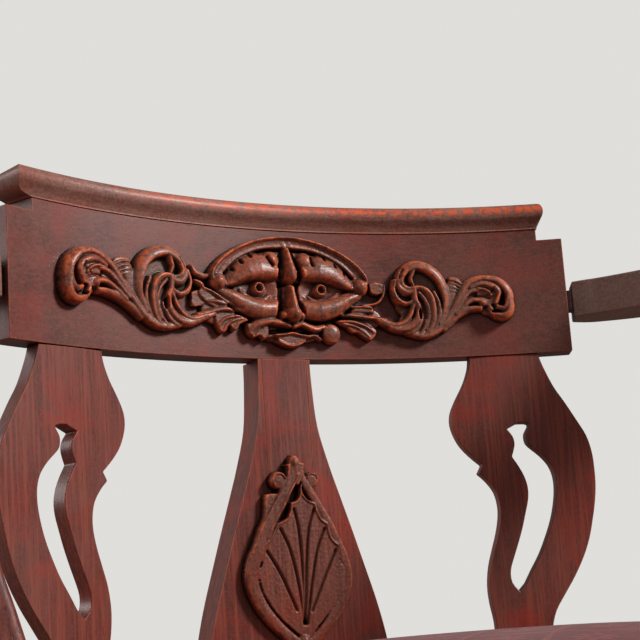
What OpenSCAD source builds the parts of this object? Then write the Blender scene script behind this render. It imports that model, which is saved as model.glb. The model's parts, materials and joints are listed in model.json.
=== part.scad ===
// Corner chair with a round seat frame, horseshoe arms, a carved crest,
// two pierced splats and a loose drop-in seat.
// Frame: origin on the floor under the middle of the chair, +Z up,
// the front leg towards -Y and the crest towards +Y. Sizes in millimetres.

/* [Seat frame] */
// Height of the top of the seat rails above the floor
seat_h = 438; // [415:1:460]
// Outside radius of the round seat frame
seat_r = 316; // [308:1:330]
// Height of the seat rails
rail_h = 68; // [60:1:80]
// Thickness of the seat rails
rail_t = 38; // [36:1:42]
// Width of the rebate that the loose seat drops into
rebate_w = 10; // [8:1:12]
// Depth of that rebate
rebate_d = 18; // [14:1:22]
// Radius of the bow of the two front rails
bow_r = 1100; // [900:10:1600]
// Thickness of the rail tenons
tenon_t = 12; // [9:1:14]
// Length of the rail tenons
tenon_l = 17; // [12:1:20]
// Height of the glue blocks inside the rails
glue_block_h = 32; // [24:1:38]
// How far the side, back and front glue blocks reach in from the faces of the legs
glue_reach_side = 48; // [42:1:56]
glue_reach_back = 30; // [24:1:38]
glue_reach_front = 44; // [38:1:52]
// Diameter of the wood screws in the glue blocks
screw_d = 4.6; // [4:0.1:6]

/* [Legs] */
// Side of the square blocks at the tops of the legs
block = 46; // [44:1:48]
// How far the knees stand out past the middle of the block
knee_out = 14; // [8:1:18]
// Half width of the knees
knee_w = 26; // [24:0.5:28]
// Radius of the ankles
ankle_r = 13; // [11:0.5:16]
// Half width of the pad feet
foot_w = 28; // [24:0.5:30]
// How far the feet stand out past the middle of the block
foot_out = 17; // [10:1:20]
// Height of the pad feet
foot_h = 30; // [24:1:38]
// Width of the knee brackets
bracket_w = 44; // [34:1:52]
// Height of the knee brackets
bracket_h = 36; // [28:1:44]
// Thickness of the knee brackets
bracket_t = 20; // [14:1:24]

/* [Crest] */
// Height of the underside of the crest above the seat rails
back_h = 242; // [225:1:260]
// Radius of the hollow front face of the crest
crest_r = 465; // [440:1:500]
// Width of the crest across its ends
crest_w = 448; // [430:1:460]
// Height of the crest from its underside to the line of the cap
crest_h = 100; // [94:1:110]
// Thickness of the crest
crest_t = 22; // [20:1:26]
// Height of the ledges at the two ends of the crest
ledge_h = 91; // [84:1:93]
// Length of each ledge, measured across the chair
ledge_l = 19; // [16:0.5:26]
// How far the cap and its ledges lie to the right of the middle
cap_slip = 1.4; // [0:0.2:2]
// Height of the cap moulding
cap_h = 20.5; // [18:0.5:26]
// How far the cap stands out in front of the crest
cap_out = 6.5; // [5:0.5:9]
// How far the right end of the cap stands out over its ledge
cap_out_right = 6.5; // [5:0.5:9]
// How far the left end of the cap stands out over its ledge
cap_out_left = 16.5; // [9:0.5:17]
// How far the cap stands out behind the crest
cap_back = 3; // [1:0.5:5]

/* [Arms] */
// Height of the underside of the arms above the underside of the crest
arm_rise = 27; // [22:1:32]
// Thickness of the arms
arm_t = 28.5; // [25:0.5:32]
// Gap between the end of the crest and the shoulder of each arm
arm_gap = 4; // [2:0.5:6]
// Radius of the scrolled hand holds
hold_r = 29; // [24:1:32]
// How far the side posts lean outwards between seat and arm
post_lean = 18; // [14:1:20]
// Diameter of the round tenons on the side posts
peg_d = 22; // [18:1:26]

/* [Back post] */
// Width of the middle block of the back post
back_post_w = 37; // [33:1:41]
// Depth of the back post
back_post_d = 28; // [24:1:32]
// Half width of the back post under the crest
post_top_half = 21.5; // [20.5:0.5:24]
// Half width of the back post where it spreads on the rails
post_foot_half = 73; // [64:1:76]

/* [Splats] */
// How far the middles of the splats lie in from the outer edge of the rails
splat_in = 15.1; // [13:0.1:18]
// Thickness of the splats
splat_t = 13; // [10:0.5:15]
// How far the splats stand behind the hollow of the crest
splat_set = 1; // [0:0.5:3]
// Height of the shoes that hold the feet of the splats
shoe_h = 12; // [9:1:16]
// Length of those shoes round the rails
shoe_l = 78; // [64:1:90]

/* [Carving] */
// Depth of the ground layer of the carving
carve_low = 5; // [3:0.5:7]
// Depth of the raised layer of the carving
carve_high = 9; // [7:0.5:12]
// How far the middle of the carving lies to the right of the middle of the crest
carve_shift = 4; // [0:0.5:6]

/* [Loose seat] */
// Width of the members of the loose seat frame
frame_w = 60; // [54:1:70]
// Thickness of the loose seat frame
frame_t = 18; // [14:1:20]
// Height of the crown of the seat above its frame
crown_h = 34; // [24:1:42]
// Thickness of the seat cover
cover_t = 1.4; // [1:0.1:2]
// Width of one strap of webbing
strap_w = 50; // [40:1:56]
// Diameter of the dowels that join the loose frame
dowel_d = 8; // [6:0.5:9]

/* [Hidden] */

$fn = 72;
mahogany = [0.46, 0.21, 0.15];
carved = [0.42, 0.19, 0.13];
beech = [0.72, 0.56, 0.38];
jute = [0.66, 0.55, 0.38];
steel = [0.55, 0.55, 0.56];
damask = [0.45, 0.12, 0.12];
hair = [0.30, 0.25, 0.20];

// Fit of a tenon in its mortise, on each side
fit = 0.15;
// Film of glue where a curved face meets another
glue = 0.1;
// Running gap between the loose seat and the frame
seat_gap = 0.3;
// Gap between the cover and the wall of the rebate
side_gap = 1.2;
// Overlap of a cut past the face that it opens
cut = 1;

leg_h = seat_h - rail_h;
rebate_z = seat_h - rebate_d;
crest_z = seat_h + back_h;
arm_z = crest_z + arm_rise;
block_mid = seat_r - block / 2;
crest_y = seat_r - block;
crest_turn = asin(crest_w / 2 / crest_r);
function cap_turn(side) = asin((crest_w / 2 - ledge_l + side * cap_slip) / crest_r);
crest_cy = crest_y - crest_r;
cap_z = crest_z + crest_h;
land = rail_t - rebate_w;

// Middle of the circle that each front rail is bowed on
bow_half = seat_r / sqrt(2);
bow_c = sqrt(bow_r * bow_r - bow_half * bow_half) / sqrt(2) - seat_r / 2;

// Notches of the loose seat round the back post and the side posts
back_notch_y = crest_y - 12;
back_notch_half = post_foot_half + 9;
side_flare = 34;
side_notch_x = seat_r - block - 3;
side_notch_half = side_flare + 6;

// Curve through a list of points, n steps to a span
function blend4(a, b, c, d, t) =
    0.5 * (2 * b + (c - a) * t + (2 * a - 5 * b + 4 * c - d) * t * t + (3 * b - a - 3 * c + d) * t * t * t);
function curve(p, n = 4) = concat(
    [for (i = [0:len(p) - 2]) for (k = [0:n - 1])
        blend4(p[max(i - 1, 0)], p[i], p[i + 1], p[min(i + 2, len(p) - 1)], k / n)],
    [p[len(p) - 1]]);
function arc(c, r, a, b, n) = [for (i = [0:n]) c + r * [cos(a + (b - a) * i / n), sin(a + (b - a) * i / n)]];
function shift(p, d) = [for (q = p) q + d];
function flip(p) = [for (q = p) [-q[0], q[1]]];
function back_to_front(p) = [for (i = [len(p) - 1:-1:0]) p[i]];
function at_height(p, z) = [for (q = p) [q[0], q[1], z]];

// Closed skin over a stack of rings with equal numbers of points
module loft(rings) {
    n = len(rings[0]);
    m = len(rings);
    side = [for (j = [0:m - 2]) for (i = [0:n - 1]) let (k = (i + 1) % n)
        each [[j * n + i, (j + 1) * n + k, j * n + k], [j * n + i, (j + 1) * n + i, (j + 1) * n + k]]];
    low = [for (i = [1:n - 2]) [0, i, i + 1]];
    high = [for (i = [1:n - 2]) [(m - 1) * n, (m - 1) * n + i + 1, (m - 1) * n + i]];
    polyhedron(points = [for (r = rings) each r], faces = concat(side, low, high));
}

// Part of a flat ring, evenly to both sides of +Y, its bottom at z = 0
module sector(r_in, r_out, half, h) {
    rotate(90 - half)
        rotate_extrude(angle = 2 * half, $fn = 180)
            translate([r_in, 0]) square([r_out - r_in, h]);
}

module both_sides() {
    children();
    mirror([1, 0, 0]) children();
}

// Plan of the seat frame, drawn in from its outer edge
module seat_plan(inset) {
    intersection() {
        circle(r = seat_r - inset, $fn = 180);
        translate([-seat_r, 0]) square([2 * seat_r, seat_r]);
    }
    intersection() {
        translate([-bow_c, bow_c]) circle(r = bow_r - inset, $fn = 360);
        translate([bow_c, bow_c]) circle(r = bow_r - inset, $fn = 360);
        translate([-seat_r, -2 * seat_r]) square([2 * seat_r, 2 * seat_r]);
    }
}

// Outline of the opening for the loose seat, with its notches, drawn in by inset
function well(inset) = let (
    r = seat_r - land - inset,
    rb = bow_r - land - inset,
    bn = back_notch_half + inset,
    by = back_notch_y - inset,
    sn = side_notch_half + inset,
    sx = side_notch_x - inset,
    a1 = asin(sn / r),
    a2 = acos(bn / r),
    bx = bn * by / (r * sin(a2)) * 0.985,
    sy = sn * sx / (r * cos(a1)) * 0.985,
    rear = arc([0, 0], r, a1, a2, 12),
    front = arc([-bow_c, bow_c], rb, -acos(bow_c / rb), -acos((sx + bow_c) / rb), 10))
    concat(rear, [[bx, by], [-bx, by]], back_to_front(flip(rear)), [[-sx, sy]],
        back_to_front(flip([for (i = [1:10]) front[i]])), front, [[sx, sy]]);

module well_cut() {
    translate([0, 0, rebate_z]) linear_extrude(rebate_d + cut) polygon(well(0));
}

// Crest

module crest_place() {
    translate([0, crest_cy, crest_z]) children();
}

module crest_end(side) {
    mirror([side < 0 ? 1 : 0, 0, 0]) crest_place() rotate(90 - crest_turn) children();
}

arm_tenon_l = 22;

module arm_tenon(grow) {
    translate([crest_r + 5 - grow, -arm_gap - 6, arm_rise + 6 - grow])
        cube([crest_t - 10 + 2 * grow, arm_gap + 6 + arm_tenon_l + grow, arm_t - 12 + 2 * grow]);
}

// Each splat stands in a plane square to the hollow of the crest, its foot on the rails
splat_r = crest_r + splat_set + splat_t / 2;
splat_foot_r = seat_r - splat_in;
splat_turn = acos((pow(splat_foot_r, 2) - pow(splat_r, 2) - pow(crest_cy, 2)) / (2 * crest_cy * splat_r));

module splat_place() {
    translate([0, crest_cy, 0]) rotate(-splat_turn) translate([0, crest_r + splat_set, 0]) children();
}

splat_tenon_half = 20;
splat_tenon_h = 10;
splat_tenon_t = 8;

module splat_tenon(grow) {
    translate([-splat_tenon_half - grow, (splat_t - splat_tenon_t) / 2 - grow, crest_z - cut])
        cube([2 * splat_tenon_half + 2 * grow, splat_tenon_t + 2 * grow, splat_tenon_h + cut + grow]);
}

back_tenon_half = 14;
back_tenon_t = 11;
back_tenon_h = 20;

module back_tenon(grow) {
    translate([-back_tenon_half - grow, crest_y + (crest_t - back_tenon_t) / 2 - grow, crest_z - cut])
        cube([2 * back_tenon_half + 2 * grow, back_tenon_t + 2 * grow, back_tenon_h + cut + grow]);
}

module crest_rail() color(mahogany) difference() {
    crest_place() sector(crest_r, crest_r + crest_t, crest_turn, crest_h);
    for (side = [1, -1]) {
        crest_end(side) arm_tenon(fit);
        cap_end(side) translate([crest_r - cut, -2 * ledge_l, ledge_h - crest_h])
            cube([crest_t + 2 * cut, 2 * ledge_l, crest_h]);
    }
    both_sides() splat_place() splat_tenon(fit);
    back_tenon(fit);
}

// Section of the cap: first value out from the face of the crest, second up
nose_r = 7.3;
cove_r = 8;
function cap_front() = concat(
    arc([cove_r + 0.2, 0], cove_r, 180, 135, 4),
    arc([cap_out - nose_r, cap_h - nose_r], nose_r, -45, 90, 8));
function cap_section() = concat(cap_front(),
    [[-crest_t + 4, cap_h - 1], [-crest_t - cap_back + 2, cap_h - 3.5]],
    [[-crest_t - cap_back, cap_h - 7], [-crest_t - cap_back, 0]]);

// Section of an end of the cap: the front's, scaled to how far that end stands out
function end_out(side) = side > 0 ? cap_out_right : cap_out_left;
function cap_side(side) = [for (q = cap_front())
    [q[0] * end_out(side) / cap_out, q[1]]];

// Wedge past the end of the crest that belongs to the mitred return
module mitre_wedge(side) {
    big = 90;
    past = big * end_out(side) / cap_out;
    translate([crest_r, 0, -cut]) linear_extrude(cap_h + 2 * cut)
        polygon([[big, 0], [0, 0], [-big, -past], [-big, -2 * past], [big, -2 * past]]);
}

module right_end(side) {
    translate([0, crest_cy, cap_z]) rotate(90 - cap_turn(side)) children();
}

module cap_end(side) {
    mirror([side < 0 ? 1 : 0, 0, 0]) right_end(side) children();
}

module cap_ring() {
    half = cap_turn(1) + 4;
    translate([0, crest_cy, cap_z]) rotate(90 - half) rotate_extrude(angle = 2 * half, $fn = 180)
        polygon([for (q = cap_section()) [crest_r - q[0], q[1]]]);
}

module crest_cap() color(mahogany) difference() {
    cap_ring();
    for (side = [1, -1]) cap_end(side) mitre_wedge(side);
}

module cap_return(side) color(mahogany) mirror([side < 0 ? 1 : 0, 0, 0]) intersection() {
    cap_ring();
    right_end(side) mitre_wedge(side);
    right_end(side) translate([crest_r + crest_t + cap_back + cut, 0, 0]) rotate([90, 0, -90])
        linear_extrude(crest_t + cap_back + cap_out + 2 * cut)
            polygon(concat([[0.2, -cut]], cap_side(side),
                [[(1 - nose_r / cap_out) * end_out(side), cap_h + cut], [-cut, cap_h + cut], [-cut, -cut]]));
}

// Place on the hollow of the crest: along it, up it, and out from it
function on_crest(u, z, h) = let (a = u / crest_r * 180 / PI)
    [(crest_r - h) * sin(a), crest_cy + (crest_r - h) * cos(a), crest_z + z];

// Grotesque mask: hood band, brows, eyes, nose, cheeks, moustache and leaves
mask_mid = [0, 46];
mask_reach = 75;
mask_half = [[0, 93], [30, 88], [52, 73], [66, 58], [61, 47], [mask_reach, 33], [67, 19], [50, 24], [38, 13],
    [20, 15], [0, 8.5]];
// Bosses of one half: [across, up, half width, half height, depth]
mask_bosses = [[59, 57, 9, 9, 13], [26, 66, 26, 11, 12], [25, 54, 7, 7, 9], [29, 38, 25, 14, 12],
    [19, 21, 19, 6, 11], [62, 27, 15, 8, 9], [0, 73, 8, 15, 15], [0, 50, 7, 16, 15], [0, 34, 11, 9, 19],
    [0, 13, 14, 6, 10]];
hood_mid = 50;
hood_w = 63;
hood_h = 41;

function boss(b, u, z) = let (d = 1 - pow((abs(u) - b[0]) / b[2], 2) - pow((z - b[1]) / b[3], 2))
    d > 0 ? b[4] * sqrt(d) : 0;
function hood(u, z) = let (d = norm([u / hood_w, (z - hood_mid) / hood_h]) - 0.93)
    z > hood_mid && abs(d) < 0.1 ? (carve_high + 2) * (1 - pow(d / 0.1, 2)) : 0;
function mask_height(u, z) = max(concat([carve_low, hood(u, z)], [for (b = mask_bosses) boss(b, u, z)]));
function mask_ring(s, lift) = [for (q = concat(curve(mask_half, 4), back_to_front(flip([for (i = [1:39])
    curve(mask_half, 4)[i]])))) let (p = mask_mid + s * (q - mask_mid))
    on_crest(p[0] + carve_shift, p[1], lift ? mask_height(p[0], p[1]) : 0)];

module mask_carving() color(carved) {
    loft([for (r = concat([for (s = [0.04, 0.5, 1]) mask_ring(s, false)],
        [for (s = [0.99:-0.05:0.03]) mask_ring(s, true)])) back_to_front(r)]);
}

// One side's run of scrolls: round whorl, fan, small curl and its tail, out from the mask
whorl_r = 26;
curl_r = 19;
tail_low = [[76, 25], [84, 21], [104, 19], [122, 24], [134, 31], [146, 35], [158, 32]];
tail_high = [[76, 37], [84, 42], [112, 60], [128, 64], [144, 62], [152, 55], [160, 57]];
run_start = mask_reach + 0.8;
tail_end = 158;
drift_l = 28;
run_steps = 38;
// Heights of the two whorls and of the two curls: the carving climbs to the left
whorl_u = 107;
whorl_left_z = 50;
whorl_right_z = 47;
curl_u = 169;
curl_left_z = 47;
curl_right_z = 41;

function disc_half(u, c, r) = abs(u - c) < r ? sqrt(r * r - (u - c) * (u - c)) : -r;
function run_high(u, wz, cz) = max(u < tail_end ? lookup(u, tail_high) : 0,
    wz + disc_half(u, whorl_u, whorl_r), cz + disc_half(u, curl_u, curl_r));
function run_low(u, wz, cz) = min(u < tail_end ? lookup(u, tail_low) : crest_h,
    wz - disc_half(u, whorl_u, whorl_r), cz - disc_half(u, curl_u, curl_r));

// Height of a round roll of radius r and half width w, and of the turning leaves inside the whorl
function roll(d, r, w) = abs(d - r) < w ? carve_high * sqrt(1 - pow((d - r) / w, 2)) : 0;
function leaves(p, d) = d < whorl_r - 6
    ? carve_low + (carve_high - carve_low) * abs(sin(2 * atan2(p[1], p[0]) + 6 * d)) : 0;
function run_height(u, z, wz, cz) = let (w = [u - whorl_u, z - wz], c = [u - curl_u, z - cz])
    max(carve_low * 0.8, roll(norm(w), whorl_r - 4, 4.5), leaves(w, norm(w)), roll(norm(c), curl_r - 3.5, 4),
        roll(norm(c + [4, -2]), 0, 6));
// Ring across the run; it drifts with the mask, less and less towards the curl
function run_ring(u, wz, cz, drift, n = 14) = let (a = run_low(u, wz, cz), b = run_high(u, wz, cz),
    at = u + drift * min(max((tail_end - u) / drift_l, 0), 1))
    concat([on_crest(at, a, 0)],
        [for (i = [0:n]) let (z = a + (b - a) * i / n) on_crest(at, z, run_height(u, z, wz, cz))],
        [on_crest(at, b, 0)]);

module scroll_side(wz, cz, drift) {
    run = curl_u + curl_r - 0.4 - run_start;
    loft([for (i = [0:run_steps]) back_to_front(run_ring(run_start + run * i / run_steps, wz, cz, drift))]);
}

module scroll_carving_left() color(carved) mirror([1, 0, 0])
    scroll_side(whorl_left_z, curl_left_z, -carve_shift);
module scroll_carving_right() color(carved) scroll_side(whorl_right_z, curl_right_z, carve_shift);

// Arms: plan of the right arm, root at the crest, hand hold past the side post
crest_corner = [crest_w / 2, crest_cy + crest_r * cos(crest_turn)];
post_x = block_mid + post_lean;
hold_c = [post_x + 20, -62];
arm_inner = concat(
    shift([[4.3, -1.4], [11, -10.5], [19, -20], [36, -48], [49, -74.5]], crest_corner),
    shift([[-27, 108], [-26, 72], [-25, 36], [-23, 5], [-17.5, -28]], [post_x, 0]));
arm_outer = concat(
    shift([[32.5, -14], [32, 14], [35, 45], [37, 78], [33, 112]], [post_x, 0]),
    shift([[106, -66.5], [88, -32], [66, -5], [42, 14], [30, 19.5], [17.5, 20.5]], crest_corner));

module arm() color(mahogany) difference() {
    union() {
        translate([0, 0, arm_z]) linear_extrude(arm_t)
            polygon(concat(curve(arm_inner, 4), arc(hold_c, hold_r, 170, 398, 30), curve(arm_outer, 4)));
        crest_end(1) arm_tenon(0);
    }
    translate([post_x, 0, arm_z - cut]) cylinder(d = peg_d + 2 * fit, h = peg_h + cut + 2 * fit);
}

module arm_right() arm();
module arm_left() mirror([1, 0, 0]) arm();

// Legs: [height, out, half depth, half width, squareness] down the leg
leg_stations = [
    [leg_h + 0.5, 0, block / 2, block / 2, 8],
    [leg_h - 2, 2, block / 2, block / 2, 7],
    [leg_h - 18, knee_out * 0.6, knee_w - 1, block / 2, 4.5],
    [leg_h - 40, knee_out * 0.95, knee_w, block / 2, 3.4],
    [leg_h - 70, knee_out, knee_w - 1.5, block / 2 - 0.5, 2.8],
    [leg_h - 108, knee_out * 0.7, knee_w - 5, block / 2 - 2.5, 2.5],
    [leg_h - 155, knee_out * 0.3, ankle_r + 4.5, ankle_r + 4.5, 2.3],
    [leg_h - 205, -knee_out * 0.15, ankle_r + 2, ankle_r + 2, 2.2],
    [leg_h - 255, -knee_out * 0.3, ankle_r + 0.5, ankle_r + 0.5, 2.1],
    [foot_h + 48, -knee_out * 0.15, ankle_r, ankle_r, 2],
    [foot_h + 26, foot_out * 0.25, ankle_r + 2, ankle_r + 1, 2],
    [foot_h + 12, foot_out * 0.65, foot_w - 8, foot_w - 11, 2],
    [foot_h, foot_out * 0.9, foot_w - 2, foot_w - 6, 2],
    [foot_h - 10, foot_out, foot_w, foot_w - 3, 2],
    [foot_h - 18, foot_out, foot_w, foot_w - 2.5, 2],
    [8, foot_out - 1, foot_w - 3, foot_w - 5, 2],
    [6, foot_out - 1, foot_w - 6, foot_w - 7.5, 2],
    [0, foot_out - 1, foot_w - 6, foot_w - 7.5, 2]
];

function wave(c, n) = sign(c) * pow(abs(c), 2 / n);
function leg_ring(s, n = 20) = [for (i = [0:n - 1]) let (a = 360 * (i + 0.5) / n)
    [block_mid + s[1] + s[2] * wave(cos(a), s[4]), s[3] * wave(sin(a), s[4]), s[0]]];

// Cabriole leg under the block that stands towards +X
module leg_shape() {
    loft(back_to_front([for (s = leg_stations) leg_ring(s)]));
    intersection() {
        translate([seat_r - block, -block / 2, leg_h]) cube([block, block, rail_h]);
        translate([0, 0, leg_h]) linear_extrude(rail_h) seat_plan(0);
    }
}

// Tenons of the rails, in the block that stands towards +X; the far one for a front rail
rail_tenon_z = leg_h + 8;
rail_tenon_h = rebate_z - leg_h - 12;
rear_tenon_x = seat_r - rail_t / 2;
front_tenon_x = seat_r - block + tenon_t / 2 + 5;

module tenon_box(x, y, grow) {
    translate([x - tenon_t / 2 - grow, y - grow, rail_tenon_z - grow])
        cube([tenon_t + 2 * grow, tenon_l + 2 * grow, rail_tenon_h + 2 * grow]);
}

module rear_tenon(grow) {
    tenon_box(rear_tenon_x, block / 2 - tenon_l, grow);
}

module front_tenon(grow) {
    tenon_box(front_tenon_x, -block / 2, grow);
}

// Side posts: lean seen from the front, spread seen from the side
peg_h = 20;
post_in = [[seat_r - block, 0], [seat_r - block + 9, 40], [seat_r - block + 23.5, 92],
    [seat_r - block + 26, 150], [seat_r - block + 24.5, 210]];
post_out = [[seat_r, 0], [seat_r - 1, 40], [seat_r + 2, 92], [seat_r + 5, 150], [seat_r + 9, 210]];

module side_post() {
    h = back_h + arm_rise;
    top_in = [post_x - 18, h];
    top_out = [post_x + 19, h];
    intersection() {
        translate([0, side_flare, seat_h]) rotate([90, 0, 0]) linear_extrude(2 * side_flare)
            polygon(concat(curve(concat(post_in, [top_in]), 5),
                back_to_front(curve(concat(post_out, [top_out]), 5))));
        translate([0, 0, seat_h]) rotate([90, 0, 90]) linear_extrude(seat_r + 60)
            polygon(concat(flip(curve(side_spread(h), 5)), back_to_front(curve(side_spread(h), 5))));
    }
    translate([post_x, 0, arm_z]) cylinder(d = peg_d, h = peg_h);
}

function side_spread(h) = [[side_flare, 0], [26, 26], [20, 62], [15.5, 105], [14.5, 180], [18, h]];

module side_leg_post() color(mahogany) difference() {
    union() {
        leg_shape();
        side_post();
    }
    rear_tenon(fit);
    front_tenon(fit);
}

module right_leg_post() side_leg_post();
module left_leg_post() mirror([1, 0, 0]) side_leg_post();

module front_leg() color(mahogany) difference() {
    rotate(-90) leg_shape();
    both_sides() front_corner_tenon(fit);
    well_cut();
}

module back_leg_post() color(mahogany) {
    difference() {
        union() {
            rotate(90) leg_shape();
            translate([-back_post_w / 2, crest_y, seat_h - 0.5])
                cube([back_post_w, back_post_d, back_h + 0.5]);
            back_tenon(0);
        }
        both_sides() back_corner_tenon(fit);
    }
}

// Half width of the back post down from the crest
post_edge = [[post_top_half, 0], [post_top_half + 0.5, 20], [post_top_half + 3, 51], [32, 80], [39, 102],
    [48.5, 131], [57, 158], [64.5, 183], [post_foot_half - 3, back_h - 36], [post_foot_half, back_h - 16],
    [post_foot_half, back_h]];

module back_post_ear(side) color(mahogany) mirror([side < 0 ? 1 : 0, 0, 0])
    translate([0, crest_y + back_post_d, 0]) rotate([90, 0, 0]) linear_extrude(back_post_d)
        polygon(concat([[back_post_w / 2, crest_z], [back_post_w / 2, seat_h]],
            back_to_front([for (q = curve(post_edge, 4)) [q[0], crest_z - q[1]]])));

module back_post_ear_left() back_post_ear(-1);
module back_post_ear_right() back_post_ear(1);

// Shell on the foot of the back post, with a bud and two small scrolls above it
shell_top = crest_z - 102;
shell_half = [[0, 0], [9, 4], [15, 16], [24, 22], [29, 36], [37, 46], [40, 62], [44, 76], [40, 96], [26, 112],
    [0, 120]];
bud_half = [[0, 31], [4, 28], [6, 18], [0, 8]];
strap_half = [[3, 10], [12, 4], [26, -14], [40, -38], [48, -60], [41, -62], [33, -44], [19, -22], [3, -2]];

module post_relief(depth) {
    translate([0, crest_y, shell_top]) rotate([90, 0, 0]) linear_extrude(depth) children();
}

module shell_carving() color(carved) {
    post_relief(carve_low) for (m = [0, 1]) mirror([m, 0])
        polygon([for (q = curve(shell_half, 2)) [q[0], -q[1]]]);
    post_relief(carve_high - 1) for (a = [-40:20:40]) translate([0, -116]) rotate(a)
        polygon([[-2, 6], [2, 6], [7, 84 - abs(a) * 0.7], [0, 92 - abs(a) * 0.7], [-7, 84 - abs(a) * 0.7]]);
    post_relief(carve_low + 1) for (m = [0, 1]) mirror([m, 0]) {
        translate([14, 11]) circle(r = 6.5, $fn = 32);
        polygon(bud_half);
        polygon(strap_half);
    }
}

// Splats: outlines in the splat's own plane, across and up from the crest's underside
splat_foot_in = 24;
splat_foot_out = 18;
splat_inner = [[-27.3, 0], [-28.3, -8], [-32.9, -20], [-40.4, -33], [-45, -43], [-45.8, -52], [-43.5, -61],
    [-39.5, -69], [-32.9, -77], [-24.4, -85]];
splat_inner_low = [[-27.9, -91.2], [-21.6, -97.5], [-16, -106], [-13.8, -116], [-14.2, -126], [-17, -138],
    [-21, -150], [-25, -163], [-27, -177], [-26.5, -190], [-24.5, 39 - back_h],
    [-splat_foot_in, 26 - back_h], [-splat_foot_in, -back_h]];
splat_outer = [[27.5, 0], [30, -9], [37.1, -26.5], [44.5, -39], [52.6, -53.6], [59.5, -67], [62.6, -80],
    [63.3, -92], [63, -105], [61.2, -118], [58.2, -131], [54, -146], [48, -160], [40, -174], [31, -187],
    [23, 43 - back_h], [19, 31 - back_h], [splat_foot_out, 20 - back_h], [splat_foot_out, -back_h]];
hole_inner = [[-2.7, -58.3], [1.4, -64.3], [2.4, -70], [1.1, -75.5], [-0.6, -80]];
hole_inner_low = [[3.6, -87], [7.6, -95.6], [9.6, -104.5], [9, -113.5], [6, -124], [2.6, -135], [-1.5, -146],
    [-6, -157], [-9.5, -167], [-9, -176], [-4, -183]];
hole_outer = [[2, -177], [8, -167], [15, -156], [21, -144], [26.5, -131], [30, -119], [32, -107.5],
    [31.9, -97], [29.1, -88], [23, -80], [14.5, -72.2], [12.1, -68], [12.1, -62], [15.5, -55], [6.5, -54]];

module splat_board() {
    translate([0, splat_t, crest_z]) rotate([90, 0, 0]) linear_extrude(splat_t) difference() {
        polygon(concat(curve(splat_inner, 3), curve(splat_inner_low, 3),
            back_to_front(curve(splat_outer, 3))));
        polygon(concat(curve(hole_inner, 3), curve(hole_inner_low, 3), curve(hole_outer, 3)));
    }
}

module splat() color(mahogany) splat_place() {
    splat_board();
    splat_tenon(0);
}

module splat_right() splat();
module splat_left() mirror([1, 0, 0]) splat();

// Shoes follow the curve of the rails and take the feet of the splats
foot_mid = (splat_foot_out - splat_foot_in) / 2;
shoe_mid = atan2(splat_r * sin(splat_turn) + foot_mid * cos(splat_turn),
    crest_cy + splat_r * cos(splat_turn) - foot_mid * sin(splat_turn));
shoe_half = asin(shoe_l / 2 / splat_foot_r);

module shoe() color(mahogany) difference() {
    translate([0, 0, seat_h]) rotate(-shoe_mid) rotate(90 - shoe_half) rotate_extrude(angle = 2 * shoe_half)
        polygon([[seat_r - land + 0.5, 0], [seat_r - 1, 0], [seat_r - 1, shoe_h - 5],
            [seat_r - 3, shoe_h - 3], [seat_r - 3, shoe_h], [seat_r - land + 0.5, shoe_h]]);
    splat_place() translate([-splat_foot_in - fit, -fit, seat_h - cut])
        cube([splat_foot_in + splat_foot_out + 2 * fit, splat_t + 2 * fit, shoe_h + 2 * cut]);
}

module shoe_right() shoe();
module shoe_left() mirror([1, 0, 0]) shoe();

// Seat rails
module rail_slab(half_plane) {
    translate([0, 0, leg_h]) linear_extrude(rail_h) intersection() {
        difference() {
            seat_plan(0);
            seat_plan(rail_t);
        }
        polygon(half_plane);
    }
}

module back_corner_tenon(grow) {
    translate([block / 2 - tenon_l - grow, seat_r - rail_t / 2 - tenon_t / 2 - grow, rail_tenon_z - grow])
        cube([tenon_l + 2 * grow, tenon_t + 2 * grow, rail_tenon_h + 2 * grow]);
}

module front_corner_tenon(grow) {
    translate([block / 2 - tenon_l - grow, -seat_r + block - 5 - tenon_t - grow, rail_tenon_z - grow])
        cube([tenon_l + 2 * grow, tenon_t + 2 * grow, rail_tenon_h + 2 * grow]);
}

module rear_rail() color(mahogany) difference() {
    union() {
        rail_slab([[block / 2, block / 2], [2 * seat_r, block / 2], [2 * seat_r, 2 * seat_r],
            [block / 2, 2 * seat_r]]);
        rear_tenon(0);
        back_corner_tenon(0);
    }
    well_cut();
    block_screw_holes();
}

module front_rail() color(mahogany) difference() {
    union() {
        rail_slab([[block / 2, -block / 2], [2 * seat_r, -block / 2], [2 * seat_r, -2 * seat_r],
            [block / 2, -2 * seat_r]]);
        front_tenon(0);
        front_corner_tenon(0);
    }
    well_cut();
    block_screw_holes();
}

module rear_rail_right() rear_rail();
module rear_rail_left() mirror([1, 0, 0]) rear_rail();
module front_rail_right() front_rail();
module front_rail_left() mirror([1, 0, 0]) front_rail();

// Glue blocks behind the four legs
glue_z = rebate_z - glue_block_h;

module glue_block(turn, reach) color(beech) difference() {
    translate([0, 0, glue_z]) linear_extrude(glue_block_h) difference() {
        intersection() {
            seat_plan(rail_t + glue);
            rotate(turn) translate([reach, -64]) square([200, 128]);
        }
        rotate(turn) translate([seat_r - block - glue, -block / 2 - glue]) square([100, block + 2 * glue]);
    }
    block_screw_holes();
    mirror([1, 0, 0]) block_screw_holes();
}

glue_side = seat_r - block - glue_reach_side;
glue_back = seat_r - block - glue_reach_back;
glue_front = seat_r - block - glue_reach_front;
module glue_block_right() glue_block(0, glue_side);
module glue_block_left() glue_block(180, glue_side);
module glue_block_back() glue_block(90, glue_back);
module glue_block_front() glue_block(-90, glue_front);

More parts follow.
